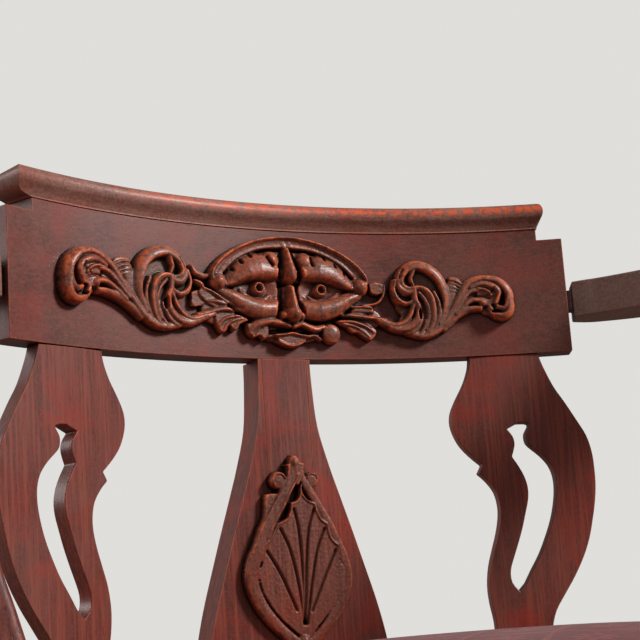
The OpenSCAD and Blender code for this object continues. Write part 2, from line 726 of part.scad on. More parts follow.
// Wood screws of the right half: [x, y, direction, length]
screw_off = block / 2 + 21;
screws = [[glue_side, screw_off, 0, 68], [glue_side, -screw_off, 0, 46], [screw_off, glue_back, 90, 52],
    [screw_off, -glue_front, -90, 46]];
head_d = 2 * screw_d;

module screw_shape(s, grow) {
    translate([s[0], s[1], glue_z + glue_block_h / 2]) rotate(s[2]) rotate([0, 90, 0]) {
        cylinder(d1 = head_d + 2 * grow, d2 = screw_d + 2 * grow, h = 3.2);
        translate([0, 0, 3.2]) cylinder(d = screw_d + 2 * grow, h = s[3] - 3.2 + grow);
    }
}

module block_screw_holes() {
    for (s = screws) screw_shape(s, glue);
    for (s = screws) translate([s[0], s[1], glue_z + glue_block_h / 2]) rotate(s[2]) rotate([0, 90, 0])
        translate([0, 0, -cut]) cylinder(d = head_d + 2 * glue, h = cut);
}

module block_screws() color(steel) both_sides() for (s = screws) screw_shape(s, 0);

// Knee brackets under the rails at each side of a leg
bracket_edge = [[0, -1], [bracket_w, -1], [bracket_w, -5], [bracket_w - 7, -8], [bracket_w * 0.6, -9],
    [bracket_w * 0.42, -13], [bracket_w * 0.34, -20], [bracket_w * 0.22, -bracket_h + 10],
    [6, -bracket_h + 2]];

// Where each rail's outer face leaves a leg, and its turn there: rear rails, then front rails
rear_start = sqrt(seat_r * seat_r - block * block / 4) - 2;
front_start = sqrt(bow_r * bow_r - pow(bow_c + block / 2, 2)) - bow_c - 2;
rear_lean = 8;
front_lean = 35;

module bracket(start, lean) {
    intersection() {
        translate([start, block / 2, leg_h + 1]) rotate(lean) rotate([90, 0, 90])
            translate([-bracket_t, 0, -bracket_t]) linear_extrude(bracket_t)
                polygon(concat([[0, -bracket_h], [0, -1]], shift(bracket_edge, [bracket_t, 0])));
        translate([0, block / 2, 0]) cube([2 * seat_r, seat_r, seat_h]);
    }
}

module knee_brackets(left_start, left_lean, right_start, right_lean) color(mahogany) {
    bracket(left_start, left_lean);
    mirror([0, 1, 0]) bracket(right_start, right_lean);
}

module knee_brackets_back() rotate(90) knee_brackets(rear_start, rear_lean, rear_start, rear_lean);
module knee_brackets_front() rotate(-90) knee_brackets(front_start, front_lean, front_start, front_lean);
module knee_brackets_right() knee_brackets(rear_start, rear_lean, front_start, front_lean);
module knee_brackets_left() mirror([1, 0, 0]) knee_brackets_right();

// Loose seat
frame_z = rebate_z + seat_gap;
frame_top = frame_z + frame_t;
frame_inset = side_gap + cover_t + 0.2;
strap_t = 1.5;
hessian_t = 0.8;
hessian_z = frame_top + 2 * strap_t;
pad_z = hessian_z + hessian_t;
dowel_l = 36;
pad_gap = 0.9;

module seat_frame_piece(right, rear) color(beech) difference() {
    translate([0, 0, frame_z]) linear_extrude(frame_t) intersection() {
        difference() {
            polygon(well(frame_inset));
            seat_plan(land + frame_w);
        }
        translate([right ? 0 : -2 * seat_r, rear ? 0 : -2 * seat_r]) square(2 * seat_r);
    }
    frame_dowels(fit);
}

module frame_dowel(x, y, turn, grow) {
    translate([x, y, frame_z + frame_t / 2]) rotate(turn) rotate([0, 90, 0])
        cylinder(d = dowel_d + 2 * grow, h = dowel_l + 2 * grow, center = true, $fn = 24);
}

dowel_back = back_notch_y - frame_inset - 8;
dowel_side = side_notch_x - frame_inset - 9;

module frame_dowels(grow) {
    for (k = [0, 1]) {
        frame_dowel(0, dowel_back - 12 * k, 0, grow);
        frame_dowel(0, -dowel_back + 14 * k - 6, 0, grow);
        for (side = [1, -1]) frame_dowel(side * (dowel_side - 16 * k), 0, 90, grow);
    }
}

module seat_frame_rear_left() seat_frame_piece(false, true);
module seat_frame_rear_right() seat_frame_piece(true, true);
module seat_frame_front_left() seat_frame_piece(false, false);
module seat_frame_front_right() seat_frame_piece(true, false);
module seat_frame_dowels() color(beech) frame_dowels(0);

module seat_webbing() color(jute) for (layer = [0, 1])
    translate([0, 0, frame_top + layer * strap_t]) linear_extrude(strap_t) intersection() {
        polygon(well(frame_inset + 12));
        rotate(90 * layer) for (k = [-1.5:1:1.5])
            translate([-seat_r, k * strap_w * 1.7 - strap_w / 2]) square([2 * seat_r, strap_w]);
    }

module seat_hessian() color(jute) translate([0, 0, hessian_z]) linear_extrude(hessian_t)
    polygon(well(frame_inset + 6));

// Crown of the seat from its edge inwards: [scale, inset, share of its height, fading of its notches]
crown = [[1, 0, 0.06, 0], [1, 1.5, 0.24, 0], [0.985, 2.5, 0.36, 0.04], [0.93, 2.5, 0.52, 0.25],
    [0.8, 2.5, 0.71, 0.7], [0.62, 2.5, 0.87, 1], [0.4, 2.5, 0.955, 1], [0.18, 2.5, 0.99, 1]];
crown_round = seat_r - land - 16;

// Small round ring in the middle that a crown closes on
function core(z) = [for (q = well(0)) let (d = norm(q)) [8 * q[0] / d, 8 * q[1] / d, z]];
function crown_rings(inset, drop) = concat(
    [for (c = crown) [for (q = well(inset + c[1]))
        let (p = c[0] * (q * (1 - c[3]) + q / norm(q) * (crown_round - inset) * c[3]))
        [p[0], p[1], frame_top + c[2] * crown_h - drop]]],
    [core(frame_top + crown_h - drop)]);

module seat_stuffing() color(hair) {
    gap = cover_t + pad_gap;
    rings = crown_rings(side_gap + gap, gap);
    loft(concat([core(pad_z), at_height(well(side_gap + gap + 0.5), pad_z)],
        [for (j = [1:len(rings) - 1]) rings[j]]));
}

// The cover is one skin: up the outside, over the crown, and back down inside
module seat_cover() color(damask) {
    outer = concat([at_height(well(side_gap), frame_z)], crown_rings(side_gap, 0));
    inner = concat([at_height(well(side_gap + cover_t), frame_z)], crown_rings(side_gap + cover_t, cover_t));
    loft(concat(back_to_front(inner), outer));
}

crest_rail();
crest_cap();
cap_return(-1);  // cap_return_left
cap_return(1);  // cap_return_right
mask_carving();
scroll_carving_left();
scroll_carving_right();
arm_left();
arm_right();
back_leg_post();
back_post_ear_left();
back_post_ear_right();
shell_carving();
left_leg_post();
right_leg_post();
front_leg();
splat_left();
splat_right();
shoe_left();
shoe_right();
rear_rail_left();
rear_rail_right();
front_rail_left();
front_rail_right();
glue_block_back();
glue_block_front();
glue_block_left();
glue_block_right();
block_screws();
knee_brackets_back();
knee_brackets_front();
knee_brackets_left();
knee_brackets_right();
seat_frame_rear_left();
seat_frame_rear_right();
seat_frame_front_left();
seat_frame_front_right();
seat_frame_dowels();
seat_webbing();
seat_hessian();
seat_stuffing();
seat_cover();
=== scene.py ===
"""Corner chair with a carved crest and a loose seat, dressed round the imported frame.

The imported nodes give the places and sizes. Carving, mouldings, turned legs and the sewn
seat are modelled here over their nodes, and the plain joinery keeps its solids with
softened edges. Sizes are in millimetres, as a chair maker writes them, and MM turns them
into metres.
"""

from __future__ import annotations

import json
import logging
import math
from collections.abc import Callable, Iterator, Mapping, Sequence
from contextlib import contextmanager
from dataclasses import dataclass, field
from enum import Enum

import bmesh
import bpy
import numpy as np
from mathutils import Matrix, Vector

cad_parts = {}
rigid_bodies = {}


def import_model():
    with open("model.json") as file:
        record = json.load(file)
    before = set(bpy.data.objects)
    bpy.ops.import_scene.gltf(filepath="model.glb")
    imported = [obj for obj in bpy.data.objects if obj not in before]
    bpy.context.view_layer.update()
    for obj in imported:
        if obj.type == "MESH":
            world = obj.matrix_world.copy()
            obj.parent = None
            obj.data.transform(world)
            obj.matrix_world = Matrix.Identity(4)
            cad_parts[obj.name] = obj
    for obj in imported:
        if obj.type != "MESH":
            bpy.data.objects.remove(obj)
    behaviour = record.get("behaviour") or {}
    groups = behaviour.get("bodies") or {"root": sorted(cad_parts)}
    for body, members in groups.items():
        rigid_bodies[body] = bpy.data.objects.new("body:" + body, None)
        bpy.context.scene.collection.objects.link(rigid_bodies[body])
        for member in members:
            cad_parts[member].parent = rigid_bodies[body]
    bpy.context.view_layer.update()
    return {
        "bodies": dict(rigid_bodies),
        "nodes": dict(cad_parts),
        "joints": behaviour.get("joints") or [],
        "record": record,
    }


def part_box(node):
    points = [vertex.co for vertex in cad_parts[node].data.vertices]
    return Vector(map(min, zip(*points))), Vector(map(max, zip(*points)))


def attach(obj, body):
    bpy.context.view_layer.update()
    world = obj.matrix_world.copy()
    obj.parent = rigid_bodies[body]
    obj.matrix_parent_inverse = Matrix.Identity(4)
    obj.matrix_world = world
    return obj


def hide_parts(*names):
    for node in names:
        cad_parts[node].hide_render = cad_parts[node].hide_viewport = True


LOG = logging.getLogger("corner_chair")
MM = 0.001
FRAME_BODY = "frame"
SEAT_BODY = "seat"

Points = Sequence[tuple[float, float]]
Colour = tuple[int, int, int]
Array = np.ndarray
Node = bpy.types.Node
Object = bpy.types.Object
Socket = bpy.types.NodeSocket
Sockets = Mapping[str, Socket]


def linear(colour: Colour) -> tuple[float, float, float, float]:
    """Turn a colour as a screen shows it into the numbers that a shader takes.

    Args:
        colour: Red, green and blue from 0 to 255.

    Returns:
        The linear colour with full alpha.
    """
    parts = [value / 255 for value in colour]
    return (*[v / 12.92 if v <= 0.04045 else ((v + 0.055) / 1.055) ** 2.4 for v in parts], 1.0)


def flowing(points: Points, steps: int = 6) -> Array:
    """Run a smooth curve through points.

    Args:
        points: Points or rows of numbers that the curve goes through.
        steps: Steps from each point to the next.

    Returns:
        Rows along the curve, with the last point at the end.
    """
    rows = np.asarray(points, dtype=float)
    last = len(rows) - 1
    curve = []
    for i in range(last):
        before, here, there, after = rows[max(i - 1, 0)], rows[i], rows[i + 1], rows[min(i + 2, last)]
        for t in np.arange(steps) / steps:
            curve.append(0.5 * (2 * here + (there - before) * t + (2 * before - 5 * here + 4 * there - after) * t**2
                                + (3 * here - before - 3 * there + after) * t**3))
    return np.array(curve + [rows[last]])


# Node trees


class Tree:
    """One shader or geometry node tree, with short calls that add and join its nodes."""

    def __init__(self, tree: bpy.types.NodeTree) -> None:
        """Take the tree and clear it."""
        self.tree = tree
        tree.nodes.clear()

    def join(self, node: Node, inputs: dict) -> Node:
        """Give a node's inputs their values or sockets.

        Args:
            node: The node.
            inputs: Values or sockets, by the input's name or number.

        Returns:
            The node.
        """
        for name, value in inputs.items():
            if isinstance(value, Socket):
                self.tree.links.new(value, node.inputs[name])
            else:
                node.inputs[name].default_value = value
        return node

    def add(self, kind: str, inputs: dict | None = None, **settings: object) -> Node:
        """Add a node.

        Args:
            kind: The node's type.
            inputs: Values or sockets for its inputs, by name or number.
            **settings: Its other settings.

        Returns:
            The new node.
        """
        node = self.tree.nodes.new(kind)
        for name, value in settings.items():
            setattr(node, name, value)
        return self.join(node, inputs or {})

    def use(self, effect: bpy.types.NodeTree, at: Socket, **inputs: float) -> Sockets:
        """Outputs of a shared effect, read at a place."""
        return self.add("ShaderNodeGroup", {"Vector": at, **inputs}, node_tree=effect).outputs

    def mix(self, factor: object, first: Socket | Colour, second: Socket | Colour) -> Socket:
        """Mix two colours.

        Args:
            factor: Share of the second colour.
            first: Colour as a screen shows it, or a socket.
            second: The other one.

        Returns:
            The mixed colour.
        """
        pair = [linear(colour) if isinstance(colour, tuple) else colour for colour in (first, second)]
        return self.add("ShaderNodeMix", {0: factor, 6: pair[0], 7: pair[1]}, data_type="RGBA").outputs[2]

    def sum(self, operation: str, first: object, second: object = 0.0, clamp: bool = False) -> Socket:
        """Work out one number from two.

        Args:
            operation: The Math node's operation.
            first: Number or socket.
            second: Number or socket.
            clamp: Whether the result stays from 0 to 1.

        Returns:
            The result.
        """
        return self.add("ShaderNodeMath", {0: first, 1: second}, operation=operation, use_clamp=clamp).outputs[0]

    def times(self, first: object, second: object) -> Socket:
        """Product of two numbers."""
        return self.sum("MULTIPLY", first, second)

    def spread(self, value: Socket, low: float, high: float, to_low: float = 0.0, to_high: float = 1.0) -> Socket:
        """Spread a value smoothly from one range to another.

        Args:
            value: The value.
            low: Where the first range starts.
            high: Where the first range ends.
            to_low: Result at low.
            to_high: Result at high.

        Returns:
            The value in its new range.
        """
        return self.add("ShaderNodeMapRange", {"Value": value, "From Min": low, "From Max": high, "To Min": to_low,
                                               "To Max": to_high}, interpolation_type="SMOOTHSTEP").outputs[0]

    def noise(self, vector: Socket, scale: float, detail: float = 2.0, distortion: float = 0.0) -> Socket:
        """Add a noise pattern.

        Args:
            vector: Where it is read.
            scale: Its size, in spots per metre.
            detail: Its number of finer layers.
            distortion: How far it is stirred.

        Returns:
            The pattern's value.
        """
        return self.add("ShaderNodeTexNoise", {"Vector": vector, "Scale": scale, "Detail": detail,
                                               "Distortion": distortion}).outputs[0]

    def stretched(self, vector: Socket, along: float) -> Socket:
        """Coordinates with their X scaled."""
        return self.add("ShaderNodeVectorMath", {0: vector, 1: (along, 1.0, 1.0)}, operation="MULTIPLY").outputs[0]


def shared(name: str, *gives: str, **takes: float) -> Callable[[Callable], Callable[[], bpy.types.NodeTree]]:
    """Let a function that fills a node group find or build the whole group.

    Args:
        name: The group's name.
        *gives: Its outputs.
        **takes: Its inputs beside Vector, with their values.

    Returns:
        The decorator.
    """
    def wrap(fill: Callable[[Tree, Sockets], dict[str, Socket]]) -> Callable[[], bpy.types.NodeTree]:
        """Wrap the function that fills the group.

        Args:
            fill: Fills the group and gives a socket for each output.

        Returns:
            The function that finds or builds the group.
        """
        def find() -> bpy.types.NodeTree:
            """Find or build the group.

            Returns:
                The group.
            """
            if name in bpy.data.node_groups:
                return bpy.data.node_groups[name]
            group = bpy.data.node_groups.new(name, "ShaderNodeTree")
            group.interface.new_socket("Vector", in_out="INPUT", socket_type="NodeSocketVector")
            for label, value in takes.items():
                group.interface.new_socket(label, in_out="INPUT", socket_type="NodeSocketFloat").default_value = value
            for label in gives:
                group.interface.new_socket(label, in_out="OUTPUT", socket_type="NodeSocketFloat")
            inside = Tree(group)
            inside.add("NodeGroupOutput", fill(inside, inside.add("NodeGroupInput").outputs))
            return group
        return find
    return wrap


class Effects:
    """Shader node groups that several finishes share, each built once."""

    @staticmethod
    @shared("wood grain", "Figure", "Fibre", "Pore", "Height")
    def grain(tree: Tree, ends: Sockets) -> dict[str, Socket]:
        """Straight grain along X: broad figure, fine fibre, open pores and their height.

        Args:
            tree: The tree that is filled.
            ends: The group's inputs.

        Returns:
            A socket for each output.
        """
        at = ends["Vector"]
        fibre = tree.noise(tree.stretched(at, 0.03), 430, 3)
        pore = tree.spread(tree.noise(tree.stretched(at, 0.05), 1500, 1), 0.6, 0.72)
        return {"Figure": tree.spread(tree.noise(tree.stretched(at, 0.1), 42, 3, 0.5), 0.3, 0.7), "Fibre": fibre,
                "Pore": pore, "Height": tree.sum("SUBTRACT", tree.times(fibre, 0.6), pore)}

    @staticmethod
    @shared("edge wear", "Wear", "Grime", Radius=0.0012)
    def wear(tree: Tree, ends: Sockets) -> dict[str, Socket]:
        """Polish rubbed through along the edges: a mask with soft gaps, and a mask of painted shade in corners.

        Args:
            tree: The tree that is filled.
            ends: The group's inputs.

        Returns:
            A socket for each output.
        """
        rounded = tree.add("ShaderNodeBevel", {"Radius": ends["Radius"]}, samples=4).outputs[0]
        flat = tree.add("ShaderNodeNewGeometry").outputs["Normal"]
        turn = tree.add("ShaderNodeVectorMath", {0: rounded, 1: flat}, operation="DOT_PRODUCT").outputs["Value"]
        edge = tree.spread(tree.sum("SUBTRACT", 1.0, turn), 0.008, 0.12)
        rubbed = tree.spread(tree.noise(ends["Vector"], 70, 4), 0.32, 0.6, 0.25)
        return {"Wear": tree.times(edge, rubbed), "Grime": Effects._grime(tree)}

    @staticmethod
    def _grime(tree: Tree) -> Socket:
        """Painted shade: darkening in occluded corners, read from ambient occlusion."""
        open_sky = tree.add("ShaderNodeAmbientOcclusion", {"Distance": 0.008}, samples=6).outputs["AO"]
        return tree.spread(open_sky, 0.2, 0.85, 0.9, 0.0)

    @staticmethod
    @shared("carving patina", "Hollow", "Crown", "Tool", "Grime")
    def patina(tree: Tree, ends: Sockets) -> dict[str, Socket]:
        """Dirt and painted shade in the hollows, and rubbed crowns of carving, from the attributes that its mesh
        carries.

        Args:
            tree: The tree that is filled.
            ends: The group's inputs.

        Returns:
            A socket for each output.
        """
        hollow, crown = [tree.add("ShaderNodeAttribute", attribute_name=label).outputs["Fac"]
                         for label in ("hollow", "crown")]
        patchy = tree.spread(tree.noise(ends["Vector"], 190, 4, 0.6), 0.38, 0.6, 0.12)
        return {"Hollow": hollow, "Crown": tree.sum("MULTIPLY", crown, patchy, clamp=True),
                "Tool": tree.noise(ends["Vector"], 380, 4), "Grime": Effects._grime(tree)}

    @staticmethod
    @shared("wax and age", "Blotch", "Bloom", "Patch")
    def age(tree: Tree, ends: Sockets) -> dict[str, Socket]:
        """Slow blotches of wax, dust and fading.

        Args:
            tree: The tree that is filled.
            ends: The group's inputs.

        Returns:
            A socket for each output.
        """
        at = ends["Vector"]
        return {"Blotch": tree.spread(tree.noise(at, 9, 5, 0.4), 0.34, 0.68),
                "Bloom": tree.spread(tree.noise(at, 540, 2), 0.42, 0.62),
                "Patch": tree.spread(tree.noise(at, 26, 4, 0.6), 0.48, 0.72)}

    @staticmethod
    @shared("plain weave", "Height", "Over", Threads=900.0)
    def weave(tree: Tree, ends: Sockets) -> dict[str, Socket]:
        """Plain weave of round threads: height, and a mask of which thread lies on top.

        Args:
            tree: The tree that is filled.
            ends: The group's inputs.

        Returns:
            A socket for each output.
        """
        parts = tree.add("ShaderNodeSeparateXYZ", {0: ends["Vector"]}).outputs
        pace = tree.times(ends["Threads"], math.pi)
        warp, weft = [tree.sum("SINE", tree.times(parts[axis], pace)) for axis in (0, 1)]
        over = tree.spread(tree.times(warp, weft), -0.08, 0.08)
        tall = tree.times(tree.sum("ABSOLUTE", warp), over)
        wide = tree.times(tree.sum("ABSOLUTE", weft), tree.sum("SUBTRACT", 1.0, over))
        return {"Height": tree.sum("ADD", tall, wide), "Over": over}


class Grain(Enum):
    """Turn that lays the grain along a board."""

    ACROSS = (0.0, 0.0, 0.0)
    UPRIGHT = (0.0, math.pi / 2, 0.0)
    DEEP = (0.0, 0.0, math.pi / 2)
    SLANT_RIGHT = (0.0, 0.0, math.pi / 4)
    SLANT_LEFT = (0.0, 0.0, -math.pi / 4)


class Finish:
    """A finish that makes its material once."""

    name: str

    def material(self) -> bpy.types.Material:
        """Find or make the material.

        Returns:
            The material.
        """
        if self.name in bpy.data.materials:
            return bpy.data.materials[self.name]
        made = bpy.data.materials.new(self.name)
        made.use_nodes = True
        tree = Tree(made.node_tree)
        shader = tree.add("ShaderNodeBsdfPrincipled")
        tree.add("ShaderNodeOutputMaterial", {"Surface": shader.outputs[0]})
        self.paint(tree, shader, tree.add("ShaderNodeTexCoord").outputs["Object"])
        return made

    def paint(self, tree: Tree, shader: Node, at: Socket) -> None:
        """Join colour, roughness and relief to the shader."""
        raise NotImplementedError

    @staticmethod
    def bump(tree: Tree, shader: Node, height: Socket, depth: float, strength: float = 1.0) -> None:
        """Raise the surface.

        Args:
            tree: The material's tree.
            shader: Its shader.
            height: The pattern of heights.
            depth: Depth of the pattern in millimetres.
            strength: Strength from 0 to 1.
        """
        raised = tree.add("ShaderNodeBump", {"Height": height, "Distance": depth * MM, "Strength": strength})
        tree.join(shader, {"Normal": raised.outputs[0]})


class Wood(Finish):
    """Wood with its grain laid along a board."""

    grain: Grain

    def figured(self, tree: Tree, at: Socket) -> tuple[Sockets, Sockets]:
        """Outputs of its grain and of its age."""
        laid = tree.add("ShaderNodeMapping", {"Vector": at, "Rotation": self.grain.value}).outputs[0]
        return tree.use(Effects.grain(), laid), tree.use(Effects.age(), at)


@dataclass(frozen=True)
class PolishedWood(Wood):
    """Old polished mahogany with worn edges and painted shade in its corners, or its carving with dirt and painted
    shade in the hollows.
    """

    name: str
    grain: Grain
    dark: Colour = (88, 36, 26)
    middle: Colour = (116, 52, 39)
    light: Colour = (136, 66, 50)
    red: Colour = (148, 38, 22)
    worn: Colour = (214, 108, 62)
    dirt: Colour = (26, 12, 9)
    bloom: Colour = (121, 82, 70)
    dust: float = 0.28
    roughness: float = 0.42
    polish: float = 0.12
    carved: bool = False
    tooled: float = 4.0

    def paint(self, tree: Tree, shader: Node, at: Socket) -> None:
        """Join grain, age and wear to the shader.

        Args:
            tree: The tree that is filled.
            shader: The material's shader.
            at: Place on the surface.
        """
        grain, age = self.figured(tree, at)
        colour = tree.mix(grain["Figure"], self.dark, self.middle)
        colour = tree.mix(tree.times(tree.spread(grain["Fibre"], 0.42, 0.66), 0.6), colour, self.light)
        colour = tree.mix(tree.times(age["Patch"], 0.6), colour, self.red)
        colour = tree.mix(tree.times(tree.sum("ADD", age["Blotch"], age["Bloom"]), self.dust), colour, self.bloom)
        colour = tree.mix(tree.times(grain["Pore"], 0.4), colour, self.dirt)
        rough = tree.spread(age["Blotch"], 0, 1, self.roughness - 0.05, self.roughness + 0.1)
        wear = tree.use(Effects.patina() if self.carved else Effects.wear(), at)
        height, depth = grain["Height"], 0.12
        if self.carved:
            # Hollows go to the dark colour, partly dirt and partly painted shade; crowns go to the worn colour.
            colour = tree.mix(wear["Hollow"], tree.mix(wear["Crown"], colour, self.worn), self.dirt)
            rough = tree.sum("ADD", rough, tree.times(wear["Hollow"], 0.35), clamp=True)
            height, depth = tree.sum("ADD", height, tree.times(wear["Tool"], self.tooled)), 0.3
        else:
            colour = tree.mix(wear["Wear"], colour, self.worn)
        # Painted shade: corners and crevices go towards the dark colour where ambient occlusion is strong.
        colour = tree.mix(wear["Grime"], colour, self.dirt)
        tree.join(shader, {"Base Color": colour, "Roughness": rough, "Specular IOR Level": 0.35,
                           "Coat Weight": self.polish, "Coat Roughness": 0.25})
        self.bump(tree, shader, height, depth, 0.4)


@dataclass(frozen=True)
class BareWood(Wood):
    """Unpolished beech, sawn and dusty."""

    name: str
    grain: Grain
    pale: Colour = (196, 160, 116)
    deep: Colour = (150, 112, 74)

    def paint(self, tree: Tree, shader: Node, at: Socket) -> None:
        """Join grain and saw marks to the shader.

        Args:
            tree: The tree that is filled.
            shader: The material's shader.
            at: Place on the surface.
        """
        grain, age = self.figured(tree, at)
        colour = tree.mix(grain["Figure"], self.deep, self.pale)
        for mask in (grain["Pore"], age["Blotch"]):
            colour = tree.mix(tree.times(mask, 0.4), colour, self.deep)
        tree.join(shader, {"Base Color": colour, "Roughness": tree.spread(age["Bloom"], 0, 1, 0.62, 0.78)})
        self.bump(tree, shader, grain["Height"], 0.2, 0.5)


@dataclass(frozen=True)
class Cloth(Finish):
    """Plain woven cloth of jute."""

    name: str
    warp: Colour
    weft: Colour
    threads: float
    depth: float = 0.3

    def paint(self, tree: Tree, shader: Node, at: Socket) -> None:
        """Join the weave to the shader.

        Args:
            tree: The tree that is filled.
            shader: The material's shader.
            at: Place on the surface.
        """
        weave = tree.use(Effects.weave(), at, Threads=self.threads)
        slub = tree.spread(tree.noise(at, 160, 3), 0.3, 0.7)
        colour = tree.mix(weave["Over"], self.warp, self.weft)
        colour = tree.mix(tree.times(slub, 0.35), colour, tuple(v // 2 for v in self.warp))
        tree.join(shader, {"Base Color": colour, "Roughness": tree.spread(slub, 0, 1, 0.82, 0.95)})
        self.bump(tree, shader, weave["Height"], self.depth)


@dataclass(frozen=True)
class Damask(Finish):
    """Silk and wool seat cover: a satin lattice of small flowers on a dull ground."""

    name: str = "seat_damask"
    ground: Colour = (112, 30, 34)
    figure: Colour = (142, 52, 50)
    faded: Colour = (150, 84, 70)
    repeat: float = 46.0
    threads: float = 1500.0

    def satin(self, tree: Tree, at: Socket) -> Socket:
        """Mask of the flowers and the lattice.

        Args:
            tree: The tree that is filled.
            at: Place on the surface.

        Returns:
            The mask.
        """
        turned = tree.add("ShaderNodeMapping", {"Vector": at, "Rotation": (0, 0, math.pi / 4),
                                                "Scale": (1 / (self.repeat * MM),) * 3}).outputs[0]
        parts = tree.add("ShaderNodeSeparateXYZ", {0: turned}).outputs
        cell = [tree.sum("SUBTRACT", tree.sum("FRACT", parts[axis]), 0.5) for axis in (0, 1)]
        sides = [tree.sum("ABSOLUTE", part) for part in cell]
        away = tree.sum("SQRT", tree.sum("ADD", *[tree.sum("POWER", side, 2) for side in sides]))
        turn = tree.times(tree.sum("ARCTAN2", cell[1], cell[0]), 4.0)
        petals = tree.times(tree.sum("ABSOLUTE", tree.sum("COSINE", turn)), 0.14)
        flower = tree.spread(tree.sum("SUBTRACT", away, tree.sum("ADD", petals, 0.12)), -0.012, 0.012, 1.0, 0.0)
        lattice = tree.spread(tree.sum("MAXIMUM", *sides), 0.462, 0.474)
        return tree.sum("MAXIMUM", tree.times(flower, tree.spread(away, 0.05, 0.07)), lattice)

    def paint(self, tree: Tree, shader: Node, at: Socket) -> None:
        """Join the pattern and its weave to the shader.

        Args:
            tree: The tree that is filled.
            shader: The material's shader.
            at: Place on the surface.
        """
        satin = self.satin(tree, at)
        weave = tree.use(Effects.weave(), at, Threads=self.threads)
        worn = tree.spread(tree.noise(at, 14, 4), 0.35, 0.7, 0.0, 0.3)
        tree.join(shader, {"Base Color": tree.mix(worn, tree.mix(satin, self.ground, self.figure), self.faded),
                           "Roughness": tree.spread(satin, 0, 1, 0.85, 0.52), "Sheen Weight": 0.25,
                           "Sheen Roughness": 0.4})
        self.bump(tree, shader, tree.sum("ADD", weave["Height"], tree.times(satin, 1.5)), 0.15, 0.8)


@dataclass(frozen=True)
class Metal(Finish):
    """Old steel, dull and speckled with rust."""

    name: str = "old_steel"
    bright: Colour = (150, 146, 140)
    rust: Colour = (92, 56, 38)

    def paint(self, tree: Tree, shader: Node, at: Socket) -> None:
        """Join the rust to the shader.

        Args:
            tree: The tree that is filled.
            shader: The material's shader.
            at: Place on the surface.
        """
        spots = tree.spread(tree.noise(at, 420, 4), 0.45, 0.65)
        tree.join(shader, {"Base Color": tree.mix(spots, self.bright, self.rust),
                           "Metallic": tree.spread(spots, 0, 1, 0.95, 0.2),
                           "Roughness": tree.spread(spots, 0, 1, 0.38, 0.8)})
        self.bump(tree, shader, spots, 0.1, 0.4)


@dataclass(frozen=True)
class Horsehair(Finish):
    """Curled horsehair stuffing."""

    name: str = "horsehair"
    hair: Colour = (58, 44, 34)
    tip: Colour = (96, 76, 58)

    def paint(self, tree: Tree, shader: Node, at: Socket) -> None:
        """Join the tangle of hairs to the shader.

        Args:
            tree: The tree that is filled.
            shader: The material's shader.
            at: Place on the surface.
        """
        tangle = tree.add("ShaderNodeTexVoronoi", {"Vector": at, "Scale": 260.0}, feature="DISTANCE_TO_EDGE")
        curl = tree.spread(tangle.outputs["Distance"], 0.0, 0.12, 1.0, 0.0)
        tree.join(shader, {"Base Color": tree.mix(curl, self.hair, self.tip), "Roughness": 0.8})
        self.bump(tree, shader, curl, 0.8)


@dataclass(frozen=True)
class FloorPaint(Finish):
    """Matt pale paint with a faint unevenness, which throws less light back than it shows."""

    name: str = "floor_paint"
    tone: Colour = (196, 194, 190)
    bounce: Colour = (112, 92, 82)
    glow: float = 0.42

    def paint(self, tree: Tree, shader: Node, at: Socket) -> None:
        """Join the faint unevenness to the shader.

        Args:
            tree: The tree that is filled.
            shader: The material's shader.
            at: Place on the surface.
        """
        cloud = tree.spread(tree.noise(at, 2.5, 3), 0.3, 0.7)
        paint = tree.mix(cloud, tuple(v - 6 for v in self.tone), self.tone)
        path = tree.add("ShaderNodeLightPath").outputs
        seen = tree.sum("MAXIMUM", path["Is Camera Ray"], path["Is Transmission Ray"])
        tree.join(shader, {"Base Color": tree.mix(seen, self.bounce, paint), "Roughness": 0.85,
                           "Emission Color": paint, "Emission Strength": tree.times(seen, self.glow)})


class Finishes:
    """The finishes of this chair."""

    level = PolishedWood("mahogany_level", Grain.ACROSS)
    upright = PolishedWood("mahogany_upright", Grain.UPRIGHT, (98, 38, 28), (128, 54, 42), (168, 78, 58),
                           (172, 42, 24))
    deep = PolishedWood("mahogany_deep", Grain.DEEP)
    slant_right = PolishedWood("mahogany_slant_right", Grain.SLANT_RIGHT)
    slant_left = PolishedWood("mahogany_slant_left", Grain.SLANT_LEFT)
    # Painted light: the cap's colours are paler and greyer than the other wood, so that its shaded cove reads lit.
    moulded = PolishedWood("mahogany_moulded", Grain.ACROSS, (116, 66, 54), (146, 92, 78), (166, 112, 96),
                           (150, 60, 42),
                           (236, 96, 48), (60, 30, 24), (168, 132, 118), 0.36, carved=True, tooled=0.3)
    carved = PolishedWood("mahogany_carved", Grain.ACROSS, (76, 33, 22), (114, 54, 37), (154, 84, 58), (150, 50, 28),
                          (232, 112, 64), (10, 5, 4), (150, 110, 92), 0.26, 0.38, 0.22, True)
    carved_upright = PolishedWood("mahogany_carved_upright", Grain.UPRIGHT, (92, 38, 26), (126, 60, 44), (146, 78, 58),
                                  (150, 52, 30), (214, 104, 62), (10, 5, 4), (136, 100, 86), 0.26, 0.42, 0.12, True)
    # Partly faded wood, partly painted sheen: paler, greyer colours and a strong grey bloom stand in for the sheen of
    # light on the arms.
    faded = PolishedWood("mahogany_faded", Grain.DEEP, (126, 76, 64), (152, 98, 84), (174, 120, 106), (156, 74, 56),
                         bloom=(164, 140, 130), dust=0.4)
    beech = BareWood("beech", Grain.ACROSS)
    webbing = Cloth("jute_webbing", (164, 138, 96), (134, 108, 70), 420, 0.6)
    hessian = Cloth("hessian", (158, 130, 90), (128, 102, 66), 620, 0.5)
    damask = Damask()
    steel = Metal()
    horsehair = Horsehair()


# Meshes


